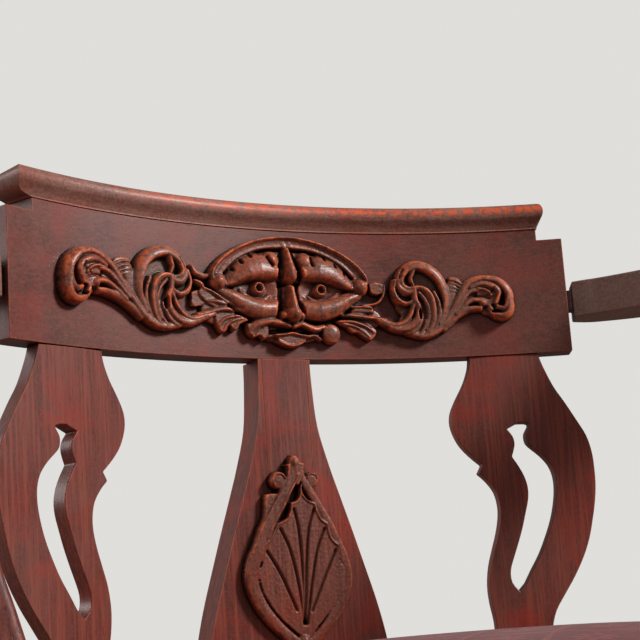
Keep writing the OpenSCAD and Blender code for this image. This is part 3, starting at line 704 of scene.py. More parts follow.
@contextmanager
def editing(piece: Object) -> Iterator[bmesh.types.BMesh]:
    """Lend a piece's mesh for editing and write it back.

    Args:
        piece: The piece.

    Yields:
        The mesh to edit.
    """
    work = bmesh.new()
    work.from_mesh(piece.data)
    yield work
    work.to_mesh(piece.data)
    work.free()


def enter(name: str, data: bpy.types.ID) -> Object:
    """Put data into the scene as a new object.

    Args:
        name: Its name.
        data: What it holds.

    Returns:
        The new object.
    """
    made = bpy.data.objects.new(name, data)
    bpy.context.scene.collection.objects.link(made)
    return made


def mark(mesh: bpy.types.Mesh, marks: dict[str, Sequence[float]]) -> None:
    """Write numbers on a mesh's points as attributes."""
    for label, values in marks.items():
        mesh.attributes.new(label, "FLOAT", "POINT").data.foreach_set("value", np.array(values, dtype=np.float32))


def add_mesh(name: str, vertices: Sequence | Array, faces: Sequence) -> Object:
    """Make an object from points and faces.

    Args:
        name: Its name.
        vertices: Points in metres.
        faces: Corners of each face, counter-clockwise from outside.

    Returns:
        The new object, shaded smooth.
    """
    mesh = bpy.data.meshes.new(name)
    mesh.from_pydata(np.asarray(vertices, dtype=float).tolist(), [], [tuple(map(int, f)) for f in faces])
    mesh.validate()
    mesh.shade_smooth()
    return enter(name, mesh)


def loft(name: str, rings: Sequence[Array], caps: bool = True) -> Object:
    """Make a closed skin over rings of equal numbers of points.

    Args:
        name: The object's name.
        rings: Rings in metres.
        caps: Whether the first and last ring are closed.

    Returns:
        The new object, its faces outwards.
    """
    count = len(rings[0])
    faces = [(j * count + i, j * count + (i + 1) % count, (j + 1) * count + (i + 1) % count, (j + 1) * count + i)
             for j in range(len(rings) - 1) for i in range(count)]
    if caps:
        faces.append(tuple(range(count))[::-1])
        faces.append(tuple((len(rings) - 1) * count + i for i in range(count)))
    made = add_mesh(name, np.concatenate(rings), faces)
    point_outwards(made)
    return made


def point_outwards(piece: Object) -> None:
    """Merge a closed mesh's doubles and turn its faces outwards.

    Args:
        piece: The piece.
    """
    with editing(piece) as work:
        bmesh.ops.remove_doubles(work, verts=work.verts, dist=1e-6)
        bmesh.ops.recalc_face_normals(work, faces=work.faces)


def even_normals(piece: Object) -> None:
    """Let large faces keep their flat shading beside small round ones."""
    modifier = piece.modifiers.new("even shading", "WEIGHTED_NORMAL")
    modifier.keep_sharp = True


def settle(piece: Object) -> None:
    """Turn a piece's modifiers into plain mesh.

    Args:
        piece: The piece.
    """
    bpy.context.view_layer.update()
    made = bpy.data.meshes.new_from_object(piece.evaluated_get(bpy.context.evaluated_depsgraph_get()))
    made.name = piece.name
    piece.modifiers.clear()
    piece.data = made


def dress(piece: Object, body: str, finish: Finish, slot: str, *nodes: str) -> Object:
    """Give a piece its finish and hide the nodes that it stands for.

    Args:
        piece: The piece, in place.
        body: The body that it rides on.
        finish: Its finish.
        slot: Its material slot in the record; not used.
        *nodes: Nodes that it replaces.

    Returns:
        The piece.
    """
    if not piece.data.materials:
        piece.data.materials.append(finish.material())
    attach(piece, body)
    if nodes:
        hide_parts(*nodes)
    LOG.info("%s: %d faces on %s", piece.name, len(piece.data.polygons), body)
    return piece


def soften(node: str, name: str, width: float, finish: Finish, body: str = FRAME_BODY, slot: str = "mahogany",
           segments: int = 3) -> Object:
    """Replace a node by a merged copy of it with softened edges.

    Args:
        node: The node.
        name: Name of the piece.
        width: Width of its rounded arrises in millimetres.
        finish: Its finish.
        body: The body that it rides on.
        slot: Its material slot in the record.
        segments: Steps round an arris.

    Returns:
        The piece.
    """
    source = NODES[node]
    piece = enter(name, source.data.copy())
    piece.data.name = name
    piece.data.transform(source.matrix_world)
    piece.data.materials.clear()
    with editing(piece) as work:
        bmesh.ops.remove_doubles(work, verts=work.verts, dist=2e-6)
        bmesh.ops.dissolve_limit(work, angle_limit=math.radians(0.6), verts=work.verts, edges=work.edges)
    piece.data.shade_smooth()
    bevel = piece.modifiers.new("arris", "BEVEL")
    bevel.width = width * MM
    bevel.segments = segments
    bevel.limit_method = "ANGLE"
    bevel.angle_limit = math.radians(34)
    even_normals(piece)
    return dress(piece, body, finish, slot, node)


# Carving


@dataclass(frozen=True)
class Roll:
    """Rounded roll along a curve; widths are half widths, and lean moves its crest to the left of its way."""

    path: Points
    width: tuple[float, ...]
    height: tuple[float, ...]
    power: float = 0.42
    flute: float = 0.0
    lean: float = 0.0


@dataclass(frozen=True)
class Dome:
    """Rounded boss with an oval foot."""

    middle: tuple[float, float]
    half: tuple[float, float]
    height: float
    power: float = 0.5


@dataclass(frozen=True)
class Groove:
    """Cut along a curve."""

    path: Points
    width: float
    depth: float


@dataclass(frozen=True)
class Pit:
    """Oval hollow sunk to a floor."""

    middle: tuple[float, float]
    half: tuple[float, float]
    floor: float


@dataclass(frozen=True)
class Hollow:
    """Hollow with a drawn outline, sunk to a floor."""

    outline: Points
    floor: float


@dataclass(frozen=True)
class Plate:
    """Raised leaf or plate with a drawn outline."""

    outline: Points
    height: float


Stroke = Roll | Dome | Groove | Pit | Hollow | Plate


def blurred(heights: Array, reach: float) -> Array:
    """Average a field of heights softly.

    Args:
        heights: The field.
        reach: Reach of the average in cells.

    Returns:
        The averaged field.
    """
    half = max(1, int(3 * reach))
    weights = np.exp(-0.5 * (np.arange(-half, half + 1) / reach) ** 2)
    weights /= weights.sum()
    for axis in (0, 1):
        edges = [(half, half) if axis == k else (0, 0) for k in (0, 1)]
        padded = np.pad(heights, edges, mode="edge")
        size = heights.shape[axis]
        heights = sum(w * np.take(padded, range(k, k + size), axis=axis) for k, w in enumerate(weights))
    return heights


class Relief:
    """Carving as a field of heights over a face, in millimetres."""

    cell = 0.5
    sunk = 0.6
    step = 2.4
    skirt = -0.3
    least = 0.7
    ramp = 1.6
    reach = 3.2

    def __init__(self, left: float, right: float, low: float, high: float) -> None:
        """Lay out an empty field between its four sides.

        Args:
            left: Its left side.
            right: Its right side.
            low: Its lower side.
            high: Its upper side.
        """
        self.across, self.up = np.meshgrid(np.arange(left, right, self.cell), np.arange(low, high, self.cell),
                                           indexing="ij")
        self.height = np.zeros(self.across.shape)

    def carve(self, strokes: Sequence[Stroke], place: Callable[[Array], Array] | None = None) -> None:
        """Carve strokes in their order.

        Args:
            strokes: The strokes.
            place: Moves their points to where they lie on the field.
        """
        put = place or (lambda rows: rows)
        corner, along, above = put(np.array([[100.0, 40.0], [101.0, 40.0], [100.0, 41.0]]))
        (ax, az), (bx, bz) = along - corner, above - corner
        hand = math.copysign(1.0, ax * bz - az * bx)
        for stroke in strokes:
            if isinstance(stroke, (Roll, Groove)):
                self._along(stroke, put(flowing(stroke.path, 6)), hand)
            elif isinstance(stroke, (Hollow, Plate)):
                self._fill(stroke, put(flowing([*stroke.outline, stroke.outline[0]], 3)))
            else:
                self._oval(stroke, put(np.array([stroke.middle]))[0])

    def _window(self, rows: Array, reach: float) -> tuple[slice, slice]:
        """Part of the field that lies within reach of some points.

        Args:
            rows: Its points.
            reach: Distance round the points.

        Returns:
            The part's rows and columns.
        """
        spans = []
        for axis, grid in enumerate((self.across[:, 0], self.up[0])):
            first, last = np.searchsorted(grid, (rows[:, axis].min() - reach, rows[:, axis].max() + reach))
            spans.append(slice(first, last))
        return spans[0], spans[1]

    def _along(self, stroke: Roll | Groove, rows: Array, hand: float) -> None:
        """Carve a roll or a groove along a curve, whose left side is where hand says.

        Args:
            stroke: The stroke.
            rows: Its points.
            hand: Side that counts as the left, 1 or -1.
        """
        reach = (max(stroke.width) if isinstance(stroke, Roll) else stroke.width * 2.5) + 1
        part = self._window(rows, reach)
        across, up = self.across[part], self.up[part]
        if not across.size:
            return
        away = np.full(across.shape, 1e9)
        along, side = np.zeros(across.shape), np.ones(across.shape)
        for i, (start, end) in enumerate(zip(rows[:-1], rows[1:])):
            step = end - start
            t = np.clip(((across - start[0]) * step[0] + (up - start[1]) * step[1]) / max(step @ step, 1e-9), 0, 1)
            gap = np.hypot(across - start[0] - t * step[0], up - start[1] - t * step[1])
            nearer = gap < away
            away[nearer] = gap[nearer]
            along[nearer] = (i + t[nearer]) / (len(rows) - 1)
            turn = step[0] * (up - start[1]) - step[1] * (across - start[0])
            side[nearer] = np.sign(turn[nearer]) * hand
        if isinstance(stroke, Groove):
            self.height[part] -= stroke.depth * np.exp(-((away / stroke.width) ** 2)) * (self.height[part] > 0.3)
            return
        width = np.interp(along, np.linspace(0, 1, len(stroke.width)), stroke.width)
        tall = np.interp(along, np.linspace(0, 1, len(stroke.height)), stroke.height)
        share = side * away / width - stroke.lean
        share = np.where(share > 0, share / (1 - stroke.lean), share / (1 + stroke.lean))
        raised = tall * np.clip(1 - share**2, 0, 1) ** stroke.power
        raised -= stroke.flute * np.exp(-((away / (0.45 * width)) ** 2)) * (away < width)
        self.height[part] = np.maximum(self.height[part], raised)

    def _oval(self, stroke: Dome | Pit, middle: Array) -> None:
        """Carve a boss or a pit.

        Args:
            stroke: The stroke.
            middle: Its middle.
        """
        part = self._window(np.array([middle]), max(stroke.half) + 1)
        away = np.hypot((self.across[part] - middle[0]) / stroke.half[0], (self.up[part] - middle[1]) / stroke.half[1])
        if isinstance(stroke, Dome):
            raised = stroke.height * np.clip(1 - away**2, 0, 1) ** stroke.power
            self.height[part] = np.maximum(self.height[part], raised)
            return
        deep = np.clip((1 - away) * 2.2, 0, 1)
        sunk = np.minimum(self.height[part], self.height[part] * (1 - deep) + stroke.floor * deep)
        self.height[part] = np.where(away < 1, sunk, self.height[part])

    def _fill(self, stroke: Hollow | Plate, rows: Array) -> None:
        """Sink an outlined hollow to its floor, or raise an outlined plate to its height.

        Args:
            stroke: The stroke.
            rows: Its points.
        """
        part = self._window(rows, 1)
        across, up = self.across[part], self.up[part]
        inside = np.zeros(across.shape, dtype=bool)
        for (x1, z1), (x2, z2) in zip(rows, np.roll(rows, -1, axis=0)):
            if z1 != z2:
                inside ^= ((z1 > up) != (z2 > up)) & (across < (x2 - x1) * (up - z1) / (z2 - z1) + x1)
        now = self.height[part]
        level = np.maximum(now, stroke.height) if isinstance(stroke, Plate) else np.minimum(now, stroke.floor)
        self.height[part] = np.where(inside, level, now)

    def mesh(self, name: str, lay: Callable[[Array, Array, Array], Array]) -> Object:
        """Make the carving a closed mesh with its hollows and crowns marked.

        Args:
            name: The object's name.
            lay: Turns places across, up and out into points in metres.

        Returns:
            The new object.
        """
        tall = blurred(self.height, self.least)
        keep = self._cells(np.maximum(self.height, tall) > self.least)
        tall = tall + self.step * np.clip(tall / self.ramp, 0, 1)
        used = np.zeros(tall.shape, dtype=bool)
        for i, j in ((0, 0), (1, 0), (0, 1), (1, 1)):
            used[i:i + keep.shape[0], j:j + keep.shape[1]] |= keep
        full = np.pad(keep, 1)
        rim = ~(full[1:, 1:] & full[:-1, 1:] & full[1:, :-1] & full[:-1, :-1])
        index = np.full(tall.shape, -1)
        count = int(used.sum())
        index[used] = np.arange(count)
        out = np.where(rim, self.skirt, np.maximum(tall, self.skirt))[used]
        across, up = self.across[used], self.up[used]
        i, j = np.nonzero(keep)
        quads = np.stack([index[i, j], index[i + 1, j], index[i + 1, j + 1], index[i, j + 1]], axis=1)
        walls = []
        for di, dj, a, b in ((-1, 0, 3, 0), (1, 0, 1, 2), (0, -1, 0, 1), (0, 1, 2, 3)):
            edge = quads[~full[i + 1 + di, j + 1 + dj]]
            walls.append(np.stack([edge[:, b], edge[:, a], edge[:, a] + count, edge[:, b] + count], axis=1))
        made = add_mesh(name, np.concatenate([lay(across, up, out), lay(across, up, np.full(count, -self.sunk))]),
                        np.concatenate([quads, quads[:, ::-1] + count, *walls]))
        mark(made.data, {label: np.tile(values[used], 2) for label, values in self._patina(tall).items()})
        with editing(made) as work:
            bmesh.ops.recalc_face_normals(work, faces=work.faces)
        return made

    def _patina(self, tall: Array) -> dict[str, Array]:
        """How hollow and how rubbed each place of the carving is; the hollow mark is partly dirt and partly painted
        shade, also on steep side walls.

        Args:
            tall: The carving's heights.

        Returns:
            Shares from 0 to 1, by the attribute's name.
        """
        mean = blurred(tall, self.reach)
        slope = np.hypot(*np.gradient(tall, self.cell))
        crown = np.clip((tall - mean - 0.3) / 2.0 + np.clip((tall - 7) / 14, 0, 0.3), 0, 1)
        # Painted shade: steep side walls are darkened as if in shadow, and low places beside high ones are darkened
        # below their surroundings.
        wall = np.clip((slope - 1.6) / 2.4, 0, 1) * (1 - crown) * 0.3
        return {"hollow": np.clip((mean - tall - 0.25) / 1.9 + wall, 0, 1), "crown": crown}

    @staticmethod
    def _cells(solid: Array) -> Array:
        """Cells that touch the carving, with corner contacts filled in.

        Args:
            solid: Grid points that carry carving.

        Returns:
            Which cells are kept.
        """
        keep = solid[1:, 1:] | solid[:-1, 1:] | solid[1:, :-1] | solid[:-1, :-1]
        for _ in range(4):
            slant = keep[1:, 1:] & keep[:-1, :-1] & ~keep[1:, :-1] & ~keep[:-1, 1:]
            other = ~keep[1:, 1:] & ~keep[:-1, :-1] & keep[1:, :-1] & keep[:-1, 1:]
            keep[1:, :-1] |= slant
            keep[1:, 1:] |= other
        return keep


def mirrored(strokes: Sequence[Stroke]) -> list[Stroke]:
    """Strokes together with their images on the other side of the middle.

    Args:
        strokes: The strokes.

    Returns:
        The strokes and their images.
    """
    both = []
    for stroke in strokes:
        both.append(stroke)
        if isinstance(stroke, (Dome, Pit)):
            other = {"middle": (-stroke.middle[0], stroke.middle[1])}
        elif isinstance(stroke, (Hollow, Plate)):
            other = {"outline": [(-x, z) for x, z in stroke.outline]}
        else:
            other = {"path": [(-x, z) for x, z in stroke.path]}
            if isinstance(stroke, Roll):
                other["lean"] = -stroke.lean
        both.append(type(stroke)(**{**stroke.__dict__, **other}))
    return both


@dataclass
class Crest:
    """Curved crest rail with its cap moulding, mask and scrolls."""

    radius: float = 465.0
    thickness: float = 22.0
    half_width: float = 224.0
    ledge_length: float = 19.0
    cap_slip: float = 1.4
    cap_back: float = 3.0
    cap_height: float = 20.5
    cap_steps: int = 64
    mask_shift: float = 4.0
    foot: float = field(init=False)
    face: float = field(init=False)
    height: float = field(init=False)

    def __post_init__(self) -> None:
        """Read the crest's place from the frame."""
        low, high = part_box("crest_rail")
        self.foot = low[2] / MM
        self.height = (high[2] - low[2]) / MM
        self.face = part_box("back_leg_post")[0][1] / MM

    @property
    def centre(self) -> float:
        """Middle of the crest's circle, along Y."""
        return self.face - self.radius

    def lay(self, across: Array, up: Array, out: Array) -> Array:
        """Put places on the hollow face.

        Args:
            across: Distance along the face from its middle.
            up: Height above the crest's underside.
            out: Distance out from the face.

        Returns:
            Points in metres.
        """
        angle = across / self.radius
        reach = self.radius - out
        return np.stack([reach * np.sin(angle), self.centre + reach * np.cos(angle), self.foot + up], axis=-1) * MM

    def build(self) -> None:
        """Make and dress every piece of the crest."""
        soften("crest_rail", "crest_rail_polished", 1.1, Finishes.level)
        self.cap()
        self.mask()
        self.scrolls()

    def cap_profile(self) -> Array:
        """Profile of the cap, up the front and over to the back.

        Returns:
            Rows of distance out at the front, at the left end and at the right end, height there, distance out
            behind and height there.
        """
        top, back = self.cap_height, self.cap_back
        rows = [(0, 0, 0, 0, back, 0), (0.9, 1.2, 0.9, 0.1, back, 0.2), (0.9, 2.4, 0.9, 0.7, back, 0.8),
                (0.5, 4.2, 0.5, 1.2, back, 1.4), (1.1, 9.4, 1.1, 2.6, back, 2.5), (2.2, 12.6, 2.2, 4.6, back, 4.0),
                (3.7, 14.4, 3.7, 6.6, back, 5.6), (5.0, 15.3, 5.0, 8.4, back, 7.2), (5.9, 15.9, 5.9, 10.1, back, 8.8),
                (6.5, 16.5, 6.5, 13.2, back - 0.1, 11.0), (6.1, 16.3, 6.1, 16.2, back - 0.4, 13.4),
                (4.6, 14.9, 4.6, 19.0, back - 1.0, 15.4), (2.1, 12.4, 2.1, top - 0.15, back - 2.2, 17.2),
                (-0.8, 8.4, -0.8, top, back - 4.0, top - 1.9), (-6.0, 2.0, -6.0, top, back - 13.0, top - 0.6)]
        return flowing(rows, 3)

    def cap_marks(self, rise: float, x: float) -> tuple[float, float]:
        """How much dirt with painted shade, and how much wear, a place of the cap has: darker in the cove and the
        quirk, and its left end is less rubbed.

        Args:
            rise: Height above the cap's foot.
            x: Place along the crest.

        Returns:
            Dirt with painted shade, and wear.
        """
        # Painted shade with some dirt: a darker band in the cove under the nose and a dark line in the quirk near the
        # foot.
        dirt = 0.22 * math.exp(-(((rise - 9.0) / 2.6) ** 2)) + 0.3 * math.exp(-(((rise - 1.4) / 0.5) ** 2))
        rubbed = min(max((x + 150) / 80, 0.12), 1)
        wear = rubbed * math.exp(-(((rise - 15.6) / 2.8) ** 2)) + 0.6 * math.exp(-((rise / 0.7) ** 2))
        return dirt, wear

    def cap(self) -> None:
        """Cap moulding with its mitred returns, as loops round the plan at each step of the profile."""
        half = self.half_width - self.ledge_length
        turns = [math.asin((half + side * self.cap_slip) / self.radius) for side in (-1, 1)]
        count = self.cap_steps
        base = self.foot + self.height
        loops, dirt, wear = [], [], []
        for out, left, right, front_up, behind, back_up in self.cap_profile():
            front_r = self.radius - out
            back_r = self.radius + self.thickness + behind
            ends = [[turn + math.asin(over / r) for turn, over in zip(turns, (left, right))] for r in (front_r, back_r)]
            front = [(front_r * math.sin(a), self.centre + front_r * math.cos(a), base + front_up)
                     for a in np.linspace(-ends[0][0], ends[0][1], count)]
            back = [(back_r * math.sin(a), self.centre + back_r * math.cos(a), base + back_up)
                    for a in np.linspace(ends[1][1], -ends[1][0], count)]
            loops.append(np.array(front + back))
            for x, _, height in front + back:
                dirt_shade_share, rubbed = self.cap_marks(height - base, x)
                dirt.append(dirt_shade_share)
                wear.append(rubbed)
        faces = []
        size = 2 * count
        for j in range(len(loops) - 1):
            faces += [(j * size + i, j * size + (i + 1) % size, (j + 1) * size + (i + 1) % size, (j + 1) * size + i)
                      for i in range(size)]
        for j, flip in ((0, 1), (len(loops) - 1, -1)):
            faces += [(j * size + i, j * size + size - 1 - i, j * size + size - 2 - i, j * size + i + 1)[::flip]
                      for i in range(count - 1)]
        piece = add_mesh("crest_cap_moulding", np.concatenate(loops) * MM, faces)
        mark(piece.data, {"hollow": dirt, "crown": wear})
        point_outwards(piece)
        piece.data.set_sharp_from_angle(angle=math.radians(38))
        even_normals(piece)
        dress(piece, FRAME_BODY, Finishes.moulded, "mahogany", "crest_cap", "cap_return_left", "cap_return_right")

    def mask(self) -> None:
        """Leafy mask under a moulded hood."""
        relief = Relief(-82, 82, 4, 96)
        relief.carve(MaskCarving.strokes())
        lay = lambda across, up, out: self.lay(across + self.mask_shift, up, out)
        dress(relief.mesh("crest_mask", lay), FRAME_BODY, Finishes.carved, "carving", "mask_carving")

    def scrolls(self) -> None:
        """Run of scrolls and leaves on each side of the mask."""
        left = Relief(-196, -57, 10, 82)
        left.carve(ScrollCarving.strokes(), lambda rows: rows * (-1, 1))
        dress(left.mesh("crest_scrolls_left", self.lay), FRAME_BODY, Finishes.carved, "carving",
              "scroll_carving_left")
        right = Relief(62, 196, 8, 80)
        right.carve(ScrollCarving.strokes(), ScrollCarving.to_right)
        dress(right.mesh("crest_scrolls_right", self.lay), FRAME_BODY, Finishes.carved, "carving",
              "scroll_carving_right")


class ScrollCarving:
    """Strokes of one run of scrolls, out from the mask and up from the crest's underside."""

    @staticmethod
    def strokes() -> list[Stroke]:
        """Strokes of the left run, from its ground to its top.

        Returns:
            The strokes.
        """
        ground = [
            Dome((104, 50), (22, 22), 3, 0.15),
            Dome((101, 29), (17, 11), 3.6, 0.15),
            Roll([(150.3, 50.2), (140.3, 46), (132, 39.4), (123.7, 32.7)], (7.5, 7, 5.5), (4,), 0.2),
            Roll([(133, 59), (129, 47), (121, 33), (110, 25)], (5, 6, 5), (4.8, 4.8, 4.2), 0.2),
            Plate([(147, 61), (143, 65.5), (136, 67.5), (130.5, 66), (129.5, 60), (130.5, 53.5), (138, 52.5),
                   (143, 56)], 3.2),
            Hollow([(118.7, 55.4), (116.2, 62.9), (111.2, 68.3), (105.4, 70.7), (101.2, 70), (97.9, 66.2), (95.4, 61.2),
                    (95.4, 58.3), (99.5, 58.7), (105.4, 57.5), (110.4, 54.6), (113.7, 55.4), (117, 53.7)], 2.2),
        ]
        whorl = [
            Roll([(119.6, 29.1), (124.3, 39.4), (125.6, 47.7), (124.3, 56.1), (120.6, 64.4), (114.3, 70.5), (107, 73.8),
                  (99.5, 74.6), (92.8, 72.1), (87.8, 67.1), (85.8, 61.5), (87.8, 56.9), (92.4, 55.1), (96.6, 55.7)],
                 (2.6, 4.2, 5, 4.4, 3.4, 2.4), (6.5, 9, 10, 9.5, 9, 8), 0.34, lean=0.5),
            Roll([(99.1, 74.4), (96.6, 68.6), (94.9, 63.6), (96.6, 59)], (3.2, 2.2), (9, 7.5), lean=0.3),
            Roll([(97.4, 55.6), (102, 56), (107.4, 54), (111.6, 48.6), (113.2, 41), (112.8, 33.6), (110.3, 26),
                  (106.2, 21)], (2.6, 3.6, 3.4, 2.4), (9.5, 10, 8.5, 6), 0.36, lean=0.35),
            Roll([(114.9, 53.6), (118.2, 46), (118.7, 37.7), (116.2, 30.2), (112.8, 24.4)], (1.8, 2.6, 2.2),
                 (7.6, 7.4, 5.4),
                 0.36, lean=0.35),
            Roll([(101.2, 52.7), (106.2, 47.7), (109.1, 40.2), (108.7, 32.7), (106.2, 25.2)], (2, 2.4, 2), (8, 7.4, 6),
                 0.36, lean=0.3),
            Roll([(97, 54.4), (97.4, 46.9), (99.9, 41.1), (99.9, 35.2), (97, 30.2), (92, 26), (85.3, 24), (78.7, 24.8),
                  (72, 27.3), (65.3, 29.8), (60.3, 31.9)], (3, 3.6, 4.2, 4, 2.8), (9.5, 9, 8, 7, 6), 0.36, lean=0.3),
            Roll([(97.4, 46), (94.9, 40.2), (92.8, 35.2), (88.7, 30.2), (82, 26.9), (75.3, 27.3), (67, 30.2)],
                 (2.2, 2.6, 2.2), (8.4, 8.2, 6.6), 0.36, lean=0.3),
            Roll([(102.8, 36), (101.6, 30.2), (97.8, 24.4), (92.8, 21)], (2.1, 2.4, 1.9), (6.8,), 0.36, lean=0.3),
            Roll([(106.6, 31), (104.5, 25.2), (100.3, 20.2)], (2.1, 1.9), (6.2,), 0.36, lean=0.3),
            Dome((86.5, 51.5), (7, 6.5), 3.4, 0.3),
            Roll([(81.6, 61.9), (79.9, 56), (80.3, 51), (83.2, 46), (88.7, 43.4), (93.7, 44.4), (96.6, 46.9)],
                 (1.8, 2.6, 2.2), (7, 8, 8), 0.36, lean=0.4),
            Roll([(84.9, 64.4), (83.7, 57.7), (87.8, 52.7), (92.8, 51.9), (96.6, 53.6)], (2, 3.2, 3), (8, 9, 9), 0.4,
                 lean=0.4),
            Groove([(88.7, 70.4), (86.6, 67), (85.4, 63.7)], 0.8, 2.5),
            Pit((101.9, 36), (1.9, 4.8), 0.8),
        ]
        tail = [
            Roll([(168.2, 67.9), (160.7, 66.5), (153.2, 63.2), (146.6, 58.2), (140.7, 51.1), (134.9, 43.6), (128.2, 36),
                  (120.5, 27.7), (112, 21.9), (102.8, 19.8), (93.6, 21), (85.4, 23.4)], (2.8, 3.6, 3.6, 3.8, 3),
                 (8, 7.4, 6.6, 6.2, 5.5),
                 0.34, lean=0.3),
            Roll([(159.1, 56.5), (152.4, 55.2), (146.6, 51.1), (139.9, 44.4), (133.2, 37.7)], (2.6, 2.7, 1.9),
                 (7.4, 6.8),
                 0.36, lean=0.3),
            Roll([(161.6, 46.9), (155.7, 47.7), (149.9, 46), (143.2, 41.9), (135.7, 36)], (2.8, 2.9, 2), (7.8, 6.8),
                 0.36,
                 lean=0.3),
            Roll([(159.9, 40.2), (154, 40.2), (147.4, 39), (139, 36), (130.7, 31), (122.4, 24.4)], (2.6, 3.1, 2.2),
                 (7, 6.4, 5), 0.34, lean=-0.3),
            Roll([(144.5, 60.7), (138.7, 63.6), (132, 64.4)], (1.2, 1.3, 0.9), (5.2,)),
            Roll([(143.3, 58.2), (137.8, 60.7), (131.6, 61.5)], (1.2, 1.3, 0.9), (5.4,)),
            Roll([(142, 56), (137, 57.7), (131.2, 58.6)], (1.2, 1.3, 0.9), (5.2,)),
            Roll([(139.5, 54), (135.3, 55.2), (130.8, 55.7)], (1.2, 1.3, 0.9), (5,)),
        ]
        curl = [
            Dome((172, 50), (15, 15), 2.6, 0.15),
            Plate([(170, 60), (176, 57), (178, 51), (174, 45), (168, 42), (161, 43), (158, 50), (160, 58)], 6),
            Dome((162.5, 45), (4.2, 4.0), 8.6),
            Roll([(166.2, 67.7), (175.7, 66), (182.4, 61), (186.6, 54.4), (187.4, 46.9), (184.9, 41), (179.9, 38.6),
                  (175.6, 40.2)], (2.8, 4.2, 4, 2.4), (8, 9.4, 9, 7.6), 0.34, lean=-0.5),
            Roll([(187, 47), (187.8, 40.4), (186, 35), (181.6, 31.9), (175.7, 32.3), (170.7, 35.7), (168.2, 40.2)],
                 (4, 3.6, 3.2, 2.6), (9, 8.8, 8, 7.4), 0.34, lean=-0.4),
            Roll([(174.5, 44.4), (177.8, 51), (177.4, 56), (173.2, 59.8), (166.6, 61.9), (159.9, 61.5), (153.2, 58.6)],
                 (2.4, 3.4, 3.6, 2.4), (8.4, 9.4, 9, 7), 0.36, lean=0.3),
            Roll([(170.7, 51.5), (168.7, 54.4), (164, 56.9), (159, 57.3)], (1.7,), (8.4,)),
            Groove([(173.5, 58.2), (171, 54), (166, 51)], 0.5, 1.8),
            Groove([(169, 48.6), (164, 50.4), (157, 50.6)], 0.6, 2.4),
            Pit((180.6, 46.5), (2.2, 5.4), 0.8),
            Pit((174.2, 36.6), (5, 1.6), 2.2),
        ]
        return ground + tail + whorl + curl

    @staticmethod
    def to_right(rows: Array) -> Array:
        """Move strokes of the left run to the right one, which lies lower and further out.

        Args:
            rows: Its points.

        Returns:
            Points of the right run.
        """
        marks = (60, 80, 97.4, 129, 150, 168, 190)
        across = np.interp(rows[:, 0], marks, (74, 92, 108.7, 138, 153, 169.5, 188.7))
        size = np.interp(rows[:, 0], marks, (1, 1, 1, 1, 0.94, 0.87, 0.87))
        drop = np.interp(rows[:, 0], marks, (0, 1.2, 2.3, 3.5, 3.5, 3.5, 3.5))
        return np.stack([across, 40 + (rows[:, 1] - 40) * size - drop], axis=1)


